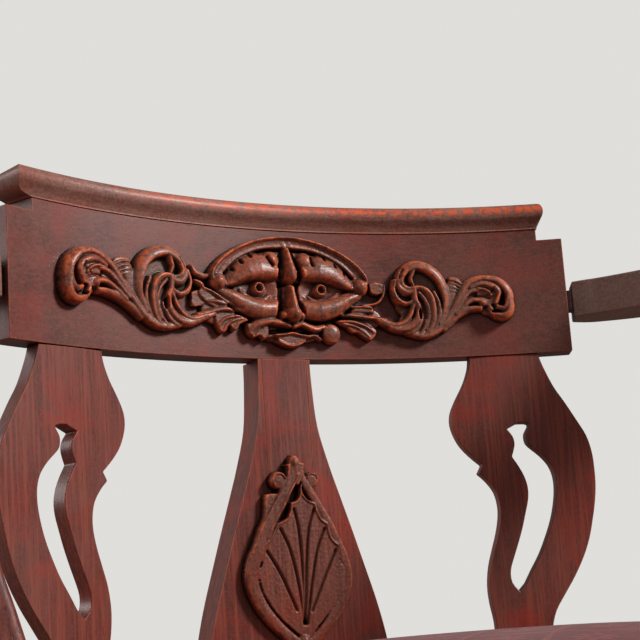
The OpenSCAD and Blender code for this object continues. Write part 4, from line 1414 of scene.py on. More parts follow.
class MaskCarving:
    """Strokes of the mask, from its middle line and up from the crest's underside."""

    @staticmethod
    def hood() -> list[Stroke]:
        """Moulded hood over the brow, ending in a ball on each side.

        Returns:
            The strokes.
        """
        return mirrored([
            Roll([(59, 61), (50, 72.2), (37, 79.8), (22, 85.2), (0, 88)], (5.2,), (6.6,), 0.12, 1.0),
            Roll([(62.3, 53), (65, 58), (64.2, 63.5), (56.6, 72.4), (43.4, 81.2), (26.2, 88.2), (8, 91.6), (0, 91.9)],
                 (1.7,), (9,), 0.34, lean=-0.35),
            Groove([(54, 62), (42.5, 72.2), (29.5, 78.8), (17, 82.2), (0, 83.4)], 0.95, 6.5),
            Dome((60, 55.2), (7.5, 7.5), 11.5),
        ])

    @staticmethod
    def brows() -> list[Stroke]:
        """Brows that fill the space under the hood, and the boss between them.

        Returns:
            The strokes.
        """
        return mirrored([
            Roll([(14, 67.6), (25, 68.6), (36, 65.8), (45, 60.4), (53.4, 55)], (10, 12, 10.6, 7.8, 4),
                 (11.6, 12.8, 12.2, 10.4, 8), 0.5, lean=-0.4),
            Dome((14.4, 72.6), (8.2, 9.4), 11.4, 0.4),
            Pit((31.5, 77.0), (1.5, 2.6), 2.5), Pit((40, 71.6), (1.5, 2.6), 2.5), Pit((47.5, 65.4), (1.4, 2.2), 2.5),
            Pit((24, 79.6), (1.3, 1.9), 3), Pit((8.5, 81.4), (1.3, 1.9), 3),
        ]) + [
            Groove([(-18, 76), (-16.4, 72.6), (-14.6, 69.6)], 1.0, 5),
            Groove([(19.4, 78), (19, 74.6), (19.6, 70.4)], 0.9, 5),
            Hollow([(-3.4, 83), (-5.6, 82), (-7.6, 74), (-9.8, 66), (-9.4, 57.6), (-5, 58), (-6, 66), (-4, 75)], 1.6),
            Hollow([(2.6, 83), (5.2, 82), (8, 74), (10.6, 66), (10.8, 57.6), (6.4, 58), (7.4, 66), (4.6, 75)], 1.6),
            Roll([(-0.8, 82.4), (0, 75), (0.8, 67), (1.2, 62)], (3.0, 4.2, 5.8, 6.2), (10, 12, 14.5, 14.5), 0.5),
            Groove([(-7.5, 56.6), (1, 55.4), (9, 56.6)], 1.0, 5),
        ]

    @staticmethod
    def eyes() -> list[Stroke]:
        """Round staring eyes, deep under the brows.

        Returns:
            The strokes.
        """
        ring = [(26.3 + 3.8 * math.cos(a), 51.9 + 3.8 * math.sin(a)) for a in np.linspace(0, 2 * math.pi, 13)]
        return mirrored([
            Pit((25.5, 51.4), (14.5, 8.6), 2.6),
            Roll([(16.4, 47), (20, 44.4), (26, 42.8), (33.5, 44.6), (41, 49.4)], (2, 3.2, 2.4), (5.6, 7, 6.6), 0.6),
            Dome((26.3, 51.4), (6.7, 6.9), 9.4, 0.45),
            Roll(ring, (0.9,), (10.2,), 0.5),
            Pit((26.3, 51.9), (2.9, 2.9), 5),
        ])

    @staticmethod
    def face() -> list[Stroke]:
        """Cheeks, nose, moustache and mouth.

        Returns:
            The strokes.
        """
        cheeks = mirrored([
            Roll([(11.6, 37), (25, 35.8), (38, 39.2), (50, 45.2), (59, 48.8)], (8.5, 9.6, 8.8, 6.6, 3.6),
                 (9.5, 11.6, 10.6, 9, 6.6), 0.5),
            Groove([(39, 49.5), (45, 47.6), (51, 48.8)], 0.45, 1.0),
            Groove([(12, 46), (17, 42.4), (23, 41)], 0.45, 0.9),
            Groove([(52, 38), (42, 31.6), (27, 27.2), (13, 27.6)], 1.0, 4.0),
            Hollow([(4.4, 59), (8.8, 58.6), (8.4, 52), (9, 44), (11.2, 37), (12, 30), (10, 27), (8, 33), (5.6, 38),
                    (4.6, 46)], 1.0),
        ])
        nose = [
            Roll([(0.5, 58), (0.7, 51), (0.9, 43), (1, 36)], (2.8, 3.8, 4.8, 6.2), (10.5, 12.5, 14.5, 16.5), 0.5),
            Dome((-6.2, 31), (4.6, 4.8), 12.5), Dome((7.8, 31), (4.6, 4.8), 12.5),
            Dome((0.8, 32.2), (8.6, 7.4), 18, 0.5),
            Pit((-6.6, 26.6), (3.8, 2.2), 2.6), Pit((7.4, 26.4), (2.2, 1.4), 3.4),
        ]
        mouth = [
            Roll([(-2, 24), (-9, 26), (-18, 27.2), (-27, 25.6), (-33, 21.5)], (2.6, 3.4, 3.8, 4.4, 3.6),
                 (9.5, 10, 9, 7.8, 6.4), 0.4, lean=0.25),
            Roll([(2, 23.6), (8, 25.6), (15, 23.2), (21, 22), (28, 24)], (2.6, 3.2, 3.2, 3.4, 2.5),
                 (9.5, 10, 9.4, 8.4, 7),
                 0.4, lean=-0.25),
            Plate([(-37, 25), (-35.5, 18), (-31, 14.6), (-27, 16.2), (-22.5, 13.8), (-18.6, 18), (-21, 25)], 5.6),
            Groove([(-24, 22), (-29, 19), (-31, 16)], 0.5, 1.6),
            Dome((34, 18.8), (8.4, 7.9), 6.6, 0.24),
            Groove([(26, 21), (26.6, 16), (30, 12)], 0.7, 3),
            Hollow([(-19, 20.4), (-10, 21.6), (-3, 20.6), (0, 21.2), (5, 20), (16, 19.2), (20, 17.6), (8, 18.8),
                    (0.5, 20.2),
                    (-7, 18.8), (-17, 16.6)], 0.9),
            Plate([(-14.5, 17), (-7, 17.9), (0.5, 19.2), (8, 17.9), (15, 16.6), (10, 11.8), (4, 8.8), (0, 8.2),
                   (-5, 9.2),
                   (-10, 12.4)], 5.6),
            Roll([(-14, 16.6), (-6, 17.2), (0.5, 18.4), (7, 17), (14.5, 16)], (1.3,), (8.4,)),
            Roll([(-11, 12.2), (-4, 9.4), (0.6, 8.9), (5, 9.6), (11, 12.6)], (1.2,), (7.2,)),
            Roll([(15, 16.4), (20, 17), (25.4, 14)], (1.7, 1.7, 1.0), (6,)),
            Roll([(-15, 16.4), (-20, 15.6), (-23, 13.6)], (1.5, 1.4, 0.9), (5,)),
        ]
        return cheeks + nose + mouth

    @staticmethod
    def leaves() -> list[Stroke]:
        """Leaves that sweep out from the cheeks.

        Returns:
            The strokes.
        """
        left = [
            Plate([(-64, 32.2), (-62, 22.5), (-58, 17.2), (-54, 18.8), (-51.4, 23), (-48.2, 19.4), (-44.4, 20.6),
                   (-42, 24), (-37, 26.5), (-33, 29.5), (-44, 32), (-54, 33.4)], 4.6),
            Roll([(-36, 29.4), (-46, 30), (-56, 27.4), (-60.6, 22.6)], (1.3, 1.8, 1.3), (7, 6.8, 5.8), 0.4),
            Roll([(-37, 28.4), (-46, 27.4), (-53, 24), (-57, 19)], (1.2, 1.5, 1.0), (6.4, 6.2, 5.4), 0.4),
            Roll([(-36, 27.6), (-43, 25.4), (-48, 21)], (1.2, 1.4, 1.0), (6, 5.4), 0.4),
            Plate([(-81.4, 47), (-74, 49), (-70, 44), (-71, 38), (-81.4, 36.4)], 2.6),
            Roll([(-81.2, 66), (-78, 61), (-71, 59), (-66, 60.6)], (1.8, 3.4, 1.8), (5, 6.4, 5), 0.5),
            Roll([(-79.6, 55.4), (-74.4, 53), (-71, 48)], (1.4, 2.8, 1), (5.4, 6.2, 5), 0.5),
            Plate([(-47, 37), (-56, 39.6), (-63, 45), (-72, 51), (-76, 46), (-71, 40.5), (-64, 36.4), (-56, 35)], 4.4),
            Roll([(-48, 37.6), (-57, 42.4), (-65, 47.4), (-73, 50.6)], (1.3, 1.6, 1.0), (7.2, 7, 5.8), 0.4),
            Roll([(-50, 37.6), (-60, 40.2), (-69, 41)], (2.2, 2.6, 1.2), (6.4, 6.4, 5), 0.36),
            Roll([(-38, 33.6), (-48, 35), (-58, 35), (-68, 32.2), (-78, 29.6)], (2, 2.5, 2.4, 1.8), (8, 7.6, 7, 6.2),
                 0.36,
                 lean=0.3),
        ]
        right = [
            Plate([(68, 58.6), (74, 59.6), (80, 58), (81, 53), (77, 49.6), (70, 50.6)], 4.6),
            Roll([(81.5, 57), (79, 48), (73, 42.4), (62, 41)], (1.2,), (6,)),
            Plate([(51, 40), (60, 40.6), (69.5, 40), (70.2, 35.4), (62, 34.4), (52, 34.6)], 5),
            Roll([(52, 39.4), (60, 39.8), (69, 39)], (1.1,), (6.6,)),
            Roll([(52, 36.4), (60, 36.4), (69, 36)], (1.1,), (6.4,)),
            Plate([(38, 28.6), (50, 29.6), (60, 28), (70.5, 23), (72, 19.4), (67.5, 14), (61, 15.8), (57, 19.4),
                   (52, 19.8), (47, 24), (41, 26)], 4.6),
            Roll([(40, 28), (52, 27.8), (63, 24.4), (70, 19.4)], (1.4, 1.9, 1.7, 1.0), (7.2, 6.8, 5.8), 0.4),
            Roll([(44, 26.4), (54, 24.4), (61, 20.4), (66, 15.8)], (1.2, 1.6, 1.0), (6.4, 6, 5.4), 0.4),
            Roll([(43, 33.6), (58, 32.4), (70, 31), (82, 29.4)], (2, 2.4, 1.9, 1.3), (8, 7.2, 6.2), 0.36, lean=-0.3),
        ]
        return [Dome((-58, 33), (16, 10), 3.0, 0.2), Dome((60, 31), (18, 10), 3.0, 0.2)] + left + right

    @staticmethod
    def strokes() -> list[Stroke]:
        """All strokes, from the ground up.

        Returns:
            The strokes.
        """
        ground = [Dome((0, 66), (54, 18), 4.6, 0.15), Dome((0, 44), (50, 22), 4.4, 0.15),
                  Dome((0, 21), (31, 10), 2.6, 0.2)]
        face, brows = MaskCarving.face(), MaskCarving.brows()
        return ground + MaskCarving.leaves() + face[:2] + MaskCarving.eyes() + MaskCarving.hood() + face[2:] + brows


@dataclass
class BackPost:
    """Shell carved on the foot of the back post, and the ears glued to the post's sides."""

    shell_foot: tuple[float, float] = (0.0, -217.0)

    def build(self, crest: Crest) -> None:
        """Make and dress the pieces.

        Args:
            crest: The crest that the post carries.
        """
        for side in ("left", "right"):
            soften(f"back_post_ear_{side}", f"post_ear_{side}", 0.2, Finishes.upright, segments=1)
        relief = Relief(-53, 53, -228, -66)
        relief.carve(self.strokes())
        lay = lambda across, up, out: np.stack([across, crest.face - out, crest.foot + up], axis=-1) * MM
        dress(relief.mesh("post_shell", lay), FRAME_BODY, Finishes.carved_upright, "carving", "shell_carving")

    def strokes(self) -> list[Stroke]:
        """Shell, mouldings that part over it, discs and bud, from the ground up.

        Returns:
            The strokes.
        """
        fx, fz = self.shell_foot
        shell = [
            Plate([(4.4, -97), (5.6, -102.5), (8.4, -106.4), (14.6, -109.4), (15.4, -113.5), (18.8, -120.5),
                   (24, -124.4),
                   (25, -130), (27, -136), (32, -140), (32, -148), (33, -154), (36, -158), (33, -172), (24, -186),
                   (12, -198), (2, -207), (-10, -199), (-22, -187), (-31, -172), (-34, -158), (-31, -153),
                   (-29.5, -146), (-29, -139), (-24, -135), (-20, -129), (-16.8, -123.6), (-12, -121.5),
                   (-8.4, -119.8), (-5.5, -116.3), (-5.2, -112), (-4.6, -108.8), (-0.4, -107.4), (2.8, -103.5),
                   (3.8, -99)], 4.4),
            *[Roll(path, (0.95,), (5.9,), 0.4) for path in (
                [(4.2, -96), (4.4, -101.5), (8.4, -106.8), (14.2, -109.8)],
                [(4, -97), (2.8, -104.2), (-0.4, -108), (-4.4, -109)],
                [(14.2, -109.8), (15.2, -113.5), (18.6, -121), (23.6, -124.8)],
                [(-4.4, -109), (-5, -113.5), (-8.4, -120.2), (-16.4, -123.8)],
                [(23.6, -124.8), (24.6, -131), (27, -137), (31.6, -140.6)],
                [(-16.4, -123.8), (-20, -130), (-24, -136), (-28.6, -139.4)])],
            *[Groove(path, 0.8, 2.6) for path in (
                [(-2.4, -113), (0.4, -129), (1.6, -160), (1.4, -196)],
                [(14, -113.4), (8.4, -129), (4.4, -160), (2.2, -196)],
                [(-14.4, -127), (-7.4, -143), (-2, -170), (0.4, -196)],
                [(21.6, -128), (14.6, -143), (8, -170), (3, -196)],
                [(-26, -143), (-16, -160), (-5, -186)], [(29.6, -144), (20, -162), (7.4, -187)])],
        ]
        left = [
            Plate([(-24.8, -101.8), (-15, -101.4), (-12, -106), (-18, -117), (-26, -130), (-33, -130), (-27, -118),
                   (-25.6, -108)], 4.4),
            Roll([(0, -80), (-3.4, -90), (-7.6, -98), (-12.6, -107), (-18.6, -116), (-25, -126), (-31, -139),
                  (-37.5, -153),
                  (-38.5, -166), (-32, -182), (-20, -197), (-5, -210)], (4.2, 5, 5.4, 5.6, 5, 4), (6.8, 6.4, 5.6, 5),
                 0.16),
            Roll([(1.6, -88), (-2.6, -95), (-8.6, -104), (-13.6, -112.6), (-19, -121), (-25.6, -133)], (1.5, 2.2, 1.8),
                 (8, 7.6, 6.8), 0.45, lean=0.4),
            Roll([(-15, -103.6), (-20, -111), (-25, -119), (-31.6, -129.8), (-38, -144)], (0.9,), (6.4,), 0.4),
            Dome((-13.75, -92), (6.4, 6.6), 6.2, 0.1),
            Roll([(-13.75 + 5.2 * math.cos(a), -92 + 5.4 * math.sin(a)) for a in np.linspace(0.3, math.pi * 1.2, 9)],
                 (0.9,), (7.8,), 0.4),
        ]
        right = [
            Roll([(2, -82), (5.4, -90), (10, -98), (15.6, -107), (20.4, -115.4), (25, -123.4), (30, -135), (36.5, -151),
                  (38, -166), (32, -182), (20, -197), (6, -210)], (3.4, 3.6, 3.8, 4.2, 4.6, 4), (5.6, 5, 4.6, 4.8),
                 0.16),
            Dome((13.75, -92), (5.6, 5.6), 5.2, 0.1),
            Roll([(13.75 + 4.6 * math.cos(a), -92 + 4.8 * math.sin(a)) for a in np.linspace(0.2, math.pi * 0.9, 8)],
                 (0.8,), (6.6,), 0.4),
        ]
        bud = [
            Plate([(-1.6, -73.4), (1.4, -74), (3.6, -76.6), (4.6, -79), (7.4, -79.4), (7.2, -83.5), (6, -87.5),
                   (3.4, -93),
                   (1.6, -96), (-3, -93), (-6.6, -87.5), (-6, -83), (-7.6, -80.4), (-4.8, -79.6), (-4.2, -76)], 6.2),
            Dome((-0.4, -79), (4.2, 5.6), 8.2, 0.4),
            Roll([(0, -82), (0.4, -88), (1.2, -94)], (3.4, 2.6, 1.2), (7.6, 7.2, 6.4), 0.4),
        ]
        return shell + left + right + bud + [Dome((fx, fz + 8), (6, 7), 6.5)]


@dataclass
class Legs:
    """Cabriole legs with their blocks, the side posts and the middle of the back post."""

    block: float = 46.0
    seat_radius: float = 316.0
    knee_out: float = 14.0
    knee: float = 26.0
    ankle: float = 13.0
    foot_half: float = 28.0
    foot_out: float = 17.0
    rail_height: float = 68.0
    rebate: float = 18.0
    land: float = 28.0
    bow: float = 1100.0
    bow_centre: float = 603.6
    ring_points: int = 64
    crisp: float = 60.0
    seat: float = field(init=False)
    arm: float = field(init=False)
    top: float = field(init=False)

    def __post_init__(self) -> None:
        """Read heights from the frame."""
        self.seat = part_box("rear_rail_left")[1][2] / MM
        self.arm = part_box("arm_right")[0][2] / MM
        self.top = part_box("crest_rail")[0][2] / MM

    def section(self, height: float, middle: float, deep: float, wide: float, square: float) -> Array:
        """Ring round a leg that stands towards +X.

        Args:
            height: Height above the floor.
            middle: Distance of its middle from the chair's middle.
            deep: Half its depth.
            wide: Half its width.
            square: How square it is; 2 is round.

        Returns:
            The ring in millimetres.
        """
        turn = (np.arange(self.ring_points) + 0.5) * 2 * math.pi / self.ring_points
        c, s = np.cos(turn), np.sin(turn)
        return np.stack([middle + deep * np.sign(c) * np.abs(c) ** (2 / square),
                         wide * np.sign(s) * np.abs(s) ** (2 / square), np.full_like(c, height)], axis=1)

    def leg_rings(self) -> list[Array]:
        """Rings from the floor up to the foot of the block.

        Returns:
            The rings.
        """
        top, half = self.seat - self.rail_height, self.block / 2
        out, knee, ankle, foot = self.knee_out, self.knee, self.ankle, self.foot_half
        rows = [
            (0, self.foot_out - 1, foot - 6.6, foot - 8, 2), (5.4, self.foot_out - 1, foot - 6, foot - 7.5, 2),
            (8, self.foot_out - 1, foot - 3, foot - 5, 2), (12, self.foot_out, foot, foot - 2.5, 2),
            (20, self.foot_out, foot, foot - 3, 2), (30, self.foot_out * 0.9, foot - 2, foot - 6, 2),
            (42, self.foot_out * 0.65, foot - 8, foot - 11, 2), (56, self.foot_out * 0.25, ankle + 2, ankle + 1, 2),
            (78, -out * 0.15, ankle, ankle, 2), (top - 255, -out * 0.3, ankle + 0.5, ankle + 0.5, 2.1),
            (top - 205, -out * 0.15, ankle + 2, ankle + 2, 2.2), (top - 155, out * 0.3, ankle + 4.5, ankle + 4.5, 2.3),
            (top - 108, out * 0.7, knee - 5, half - 2.5, 2.5), (top - 70, out, knee - 1.5, half - 0.5, 2.8),
            (top - 40, out * 0.95, knee, half, 3.4), (top - 18, out * 0.6, knee - 1, half, 4.5),
            (top - 5, 3.4, half + 0.5, half, 7), (top - 0.6, 0.6, half, half, 12),
        ]
        middle = self.seat_radius - half
        rings = []
        for height, lean, deep, wide, square in flowing(rows, 5):
            rings.append(self.section(height, middle + lean, deep, wide, max(square, 2)))
        return rings

    def block_rings(self, high: float) -> list[Array]:
        """Rings of the square block, up to a height.

        Args:
            high: Height where they end.

        Returns:
            The rings.
        """
        half = self.block / 2
        middle = self.seat_radius - half
        foot = self.seat - self.rail_height
        return [self.section(foot, middle, half, half, 30), self.section(foot + 1, middle, half, half, self.crisp),
                self.section(high, middle, half, half, self.crisp)]

    def post_rings(self) -> list[Array]:
        """Rings of a side post from the seat to the arm.

        Returns:
            The rings.
        """
        start = self.seat_radius - self.block
        rise = self.arm - self.seat
        rows = [(0, start, start + 46, 34, 24), (1.5, start + 0.4, start + 45.9, 33.2, 16),
                (14, start + 3.6, start + 45.4, 29.0, 9), (26, start + 6.4, start + 45.1, 26, 8),
                (40, start + 9, start + 45, 23.2, 7), (62, start + 15, start + 46, 20, 7),
                (92, start + 23.5, start + 48, 16.4, 7), (120, start + 25.6, start + 49.4, 15.1, 7),
                (150, start + 26, start + 51, 14.7, 7), (180, start + 25.6, start + 53, 14.5, 7),
                (210, start + 24.5, start + 55, 15.2, 8), (rise, start + 23, start + 60, 18, 9)]
        rings = []
        for height, inner, outer, wide, square in flowing(rows, 4):
            rings.append(self.section(self.seat + height, (inner + outer) / 2, (outer - inner) / 2, wide, square))
        return rings

    def build(self) -> None:
        """Make and dress the four legs."""
        legs = self.leg_rings()
        side = legs + self.block_rings(self.seat) + self.post_rings()
        self.stand("leg_post_right", side, 0, "right_leg_post")
        self.stand("leg_post_left", [ring * (-1, 1, 1) for ring in side], 0, "left_leg_post")
        board = [self.board(height) for height in (self.seat, self.seat + 2, self.top)]
        self.stand("leg_post_back", legs + self.block_rings(self.seat) + board, 90, "back_leg_post")
        self.stand("leg_front", legs + self.front_block(), -90, "front_leg")

    def board(self, height: float) -> Array:
        """Ring of the middle board of the back post, lying towards +X."""
        start = self.seat_radius - self.block
        return self.section(height, start + 14, 14, 18.5, self.crisp)

    def front_block(self) -> list[Array]:
        """Rings of the front block, cut away inside for the loose seat.

        Returns:
            The rings.
        """
        ledge = self.seat - self.rebate
        narrow = self.section(self.seat, self.seat_radius - self.land / 2, self.land / 2, self.block / 2, self.crisp)
        across = np.abs(narrow[:, 1])
        inner = np.sqrt((self.bow - self.land) ** 2 - (across + self.bow_centre) ** 2) - self.bow_centre
        narrow[:, 0] = np.where(narrow[:, 0] < self.seat_radius - self.land / 2, inner, narrow[:, 0])
        low = narrow.copy()
        low[:, 2] = ledge
        return self.trimmed(self.block_rings(ledge) + [low, narrow])

    def trimmed(self, rings: list[Array]) -> list[Array]:
        """Keep the rings of the front block inside the bowed faces of the front rails.

        Args:
            rings: The rings.

        Returns:
            The rings.
        """
        for ring in rings:
            edge = np.sqrt(self.bow**2 - (np.abs(ring[:, 1]) + self.bow_centre) ** 2) - self.bow_centre
            ring[:, 0] = np.minimum(ring[:, 0], edge)
        return rings

    def stand(self, name: str, rings: list[Array], turn: float, node: str) -> None:
        """Skin the rings, turn them to their corner and dress the leg.

        Args:
            name: Name of the piece.
            rings: Its rings, as for a leg towards +X.
            turn: Turn about the chair's middle in degrees.
            node: The node that it stands for.
        """
        c, s = math.cos(math.radians(turn)), math.sin(math.radians(turn))
        spin = np.array([[c, -s, 0], [s, c, 0], [0, 0, 1]])
        piece = loft(name, [ring @ spin.T * MM for ring in rings])
        piece.data.set_sharp_from_angle(angle=math.radians(42))
        even_normals(piece)
        dress(piece, FRAME_BODY, Finishes.upright, "mahogany", node)


class Joinery:
    """Boards that keep their solids, with softened arrises."""

    def build(self) -> None:
        """Dress arms, splats, shoes, rails, brackets and glue blocks."""
        for side, slant in (("left", Finishes.slant_right), ("right", Finishes.slant_left)):
            other = Finishes.slant_left if slant is Finishes.slant_right else Finishes.slant_right
            # The arms' finish carries painted sheen in its paler, greyer colours.
            soften(f"arm_{side}", f"arm_polished_{side}", 1.4, Finishes.faded)
            soften(f"splat_{side}", f"splat_polished_{side}", 0.9, Finishes.upright)
            soften(f"shoe_{side}", f"splat_shoe_{side}", 0.8, slant, segments=2)
            soften(f"rear_rail_{side}", f"rail_rear_{side}", 0.8, slant, segments=2)
            soften(f"front_rail_{side}", f"rail_front_{side}", 0.8, other, segments=2)
        for place in ("back", "front", "left", "right"):
            soften(f"knee_brackets_{place}", f"brackets_{place}", 1.4, Finishes.level)
            soften(f"glue_block_{place}", f"glue_block_bare_{place}", 0.7, Finishes.beech, slot="beech", segments=2)


# Pieces that repeat


class Pattern:
    """A geometry node tree with named inputs, run on a mesh of points or lines."""

    def __init__(self, name: str, sizes: dict[str, float], finish: Finish) -> None:
        """Start the tree.

        Args:
            name: Name of the tree and of its piece.
            sizes: Its inputs in metres or counts.
            finish: Finish of what it makes.
        """
        self.name, self.sizes, self.finish = name, sizes, finish
        self.group = bpy.data.node_groups.new(name, "GeometryNodeTree")
        self.group.interface.new_socket("Geometry", in_out="INPUT", socket_type="NodeSocketGeometry")
        for label, value in sizes.items():
            socket = self.group.interface.new_socket(label, in_out="INPUT", socket_type="NodeSocketFloat")
            socket.default_value = value
        self.group.interface.new_socket("Geometry", in_out="OUTPUT", socket_type="NodeSocketGeometry")
        self.tree = Tree(self.group)
        self.ends = self.tree.add("NodeGroupInput")

    def size(self, label: str) -> Socket:
        """Socket of a named input."""
        return self.ends.outputs[label]

    def mark(self, label: str) -> Socket:
        """Attribute of the points, as a number."""
        return self.tree.add("GeometryNodeInputNamedAttribute", {"Name": label}, data_type="FLOAT").outputs[0]

    def combine(self, x: object, y: object, z: object) -> Socket:
        """Vector from three numbers."""
        return self.tree.add("ShaderNodeCombineXYZ", {0: x, 1: y, 2: z}).outputs[0]

    def copies(self, points: Socket, shape: Socket, turn: object = (0, 0, 0),
               scale: object = (1, 1, 1)) -> Socket:
        """Copies of a shape on points."""
        return self.tree.add("GeometryNodeInstanceOnPoints", {"Points": points, "Instance": shape, "Rotation": turn,
                                                              "Scale": scale}).outputs[0]

    def run(self, made: Socket, points: Array, marks: dict[str, Sequence[float]],
            lines: Sequence[tuple[int, int]] = (),
            wave: Callable[[Socket], Socket] | None = None) -> Object:
        """Close the tree, run it and keep the plain mesh.

        Args:
            made: What the tree has made so far.
            points: Points that it starts from, in metres.
            marks: Numbers of each point.
            lines: Lines between the points.
            wave: Last step on the realized mesh.

        Returns:
            The new object.
        """
        real = self.tree.add("GeometryNodeRealizeInstances", {"Geometry": made}).outputs[0]
        real = wave(real) if wave else real
        final = self.tree.add("GeometryNodeSetMaterial", {"Geometry": real, "Material": self.finish.material()})
        self.tree.add("NodeGroupOutput", {"Geometry": final.outputs[0]})
        mesh = bpy.data.meshes.new(f"{self.name}_points")
        mesh.from_pydata(np.asarray(points, dtype=float).tolist(), [tuple(pair) for pair in lines], [])
        mark(mesh, marks)
        piece = enter(self.name, mesh)
        modifier = piece.modifiers.new(self.name, "NODES")
        modifier.node_group = self.group
        for item in self.group.interface.items_tree:
            if item.item_type == "SOCKET" and item.in_out == "INPUT" and item.name in self.sizes:
                modifier[item.identifier] = float(self.sizes[item.name])
        settle(piece)
        return piece


@dataclass
class BlockScrews:
    """Slotted wood screws that hold the glue blocks."""

    shank: float = 4.6
    sink: float = 3.2
    side: float = 222.0
    back: float = 240.0
    front: float = 226.0
    off: float = 44.0
    lengths: tuple[float, ...] = (68.0, 46.0, 52.0, 46.0)

    def build(self) -> None:
        """Make and dress the eight screws."""
        low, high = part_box("glue_block_back")
        middle = (low[2] + high[2]) / 2 / MM
        rows = [(self.side, self.off, 0.0), (self.side, -self.off, 0.0), (self.off, self.back, 90.0),
                (self.off, -self.front, -90.0)]
        points, turns, lengths = [], [], []
        for mirror in (1, -1):
            for (x, y, turn), length in zip(rows, self.lengths):
                points.append((mirror * x * MM, y * MM, middle * MM))
                turns.append(math.radians(turn if mirror > 0 else 180 - turn))
                lengths.append((length - self.sink) * MM)
        work = Pattern("wood_screws", {"Shank": self.shank / 2 * MM, "Head": self.shank * MM, "Sink": self.sink * MM,
                                       "Slot": 0.9 * MM}, Finishes.steel)
        tree = work.tree
        cone = tree.add("GeometryNodeMeshCone", {"Vertices": 32, "Radius Top": work.size("Shank"),
                                                 "Radius Bottom": work.size("Head"), "Depth": work.size("Sink")})
        wide = tree.times(work.size("Head"), 2.4)
        cube = tree.add("GeometryNodeMeshCube", {"Size": work.combine(wide, work.size("Slot"), work.size("Sink"))})
        slot = tree.add("GeometryNodeTransform", {"Geometry": cube.outputs[0], "Translation":
                                                  work.combine(0.0, 0.0, tree.times(work.size("Sink"), -0.6))})
        head = tree.add("GeometryNodeMeshBoolean", operation="DIFFERENCE")
        tree.join(head, {0: cone.outputs[0], 1: slot.outputs[0]})
        rod = tree.add("GeometryNodeMeshCylinder", {"Vertices": 20, "Radius": work.size("Shank"), "Depth": 1.0})
        shaft = tree.add("GeometryNodeTransform", {"Geometry": rod.outputs[0], "Translation": (0, 0, 0.5)})
        turned = work.combine(0.0, math.pi / 2, work.mark("turn"))
        heads = work.copies(work.size("Geometry"), head.outputs[0], turned)
        shafts = work.copies(work.size("Geometry"), shaft.outputs[0], turned,
                             work.combine(1.0, 1.0, work.mark("length")))
        both = tree.add("GeometryNodeJoinGeometry")
        tree.tree.links.new(heads, both.inputs[0])
        tree.tree.links.new(shafts, both.inputs[0])
        piece = work.run(both.outputs[0], np.array(points), {"turn": turns, "length": lengths})
        dress(piece, FRAME_BODY, Finishes.steel, "screw_steel", "block_screws")


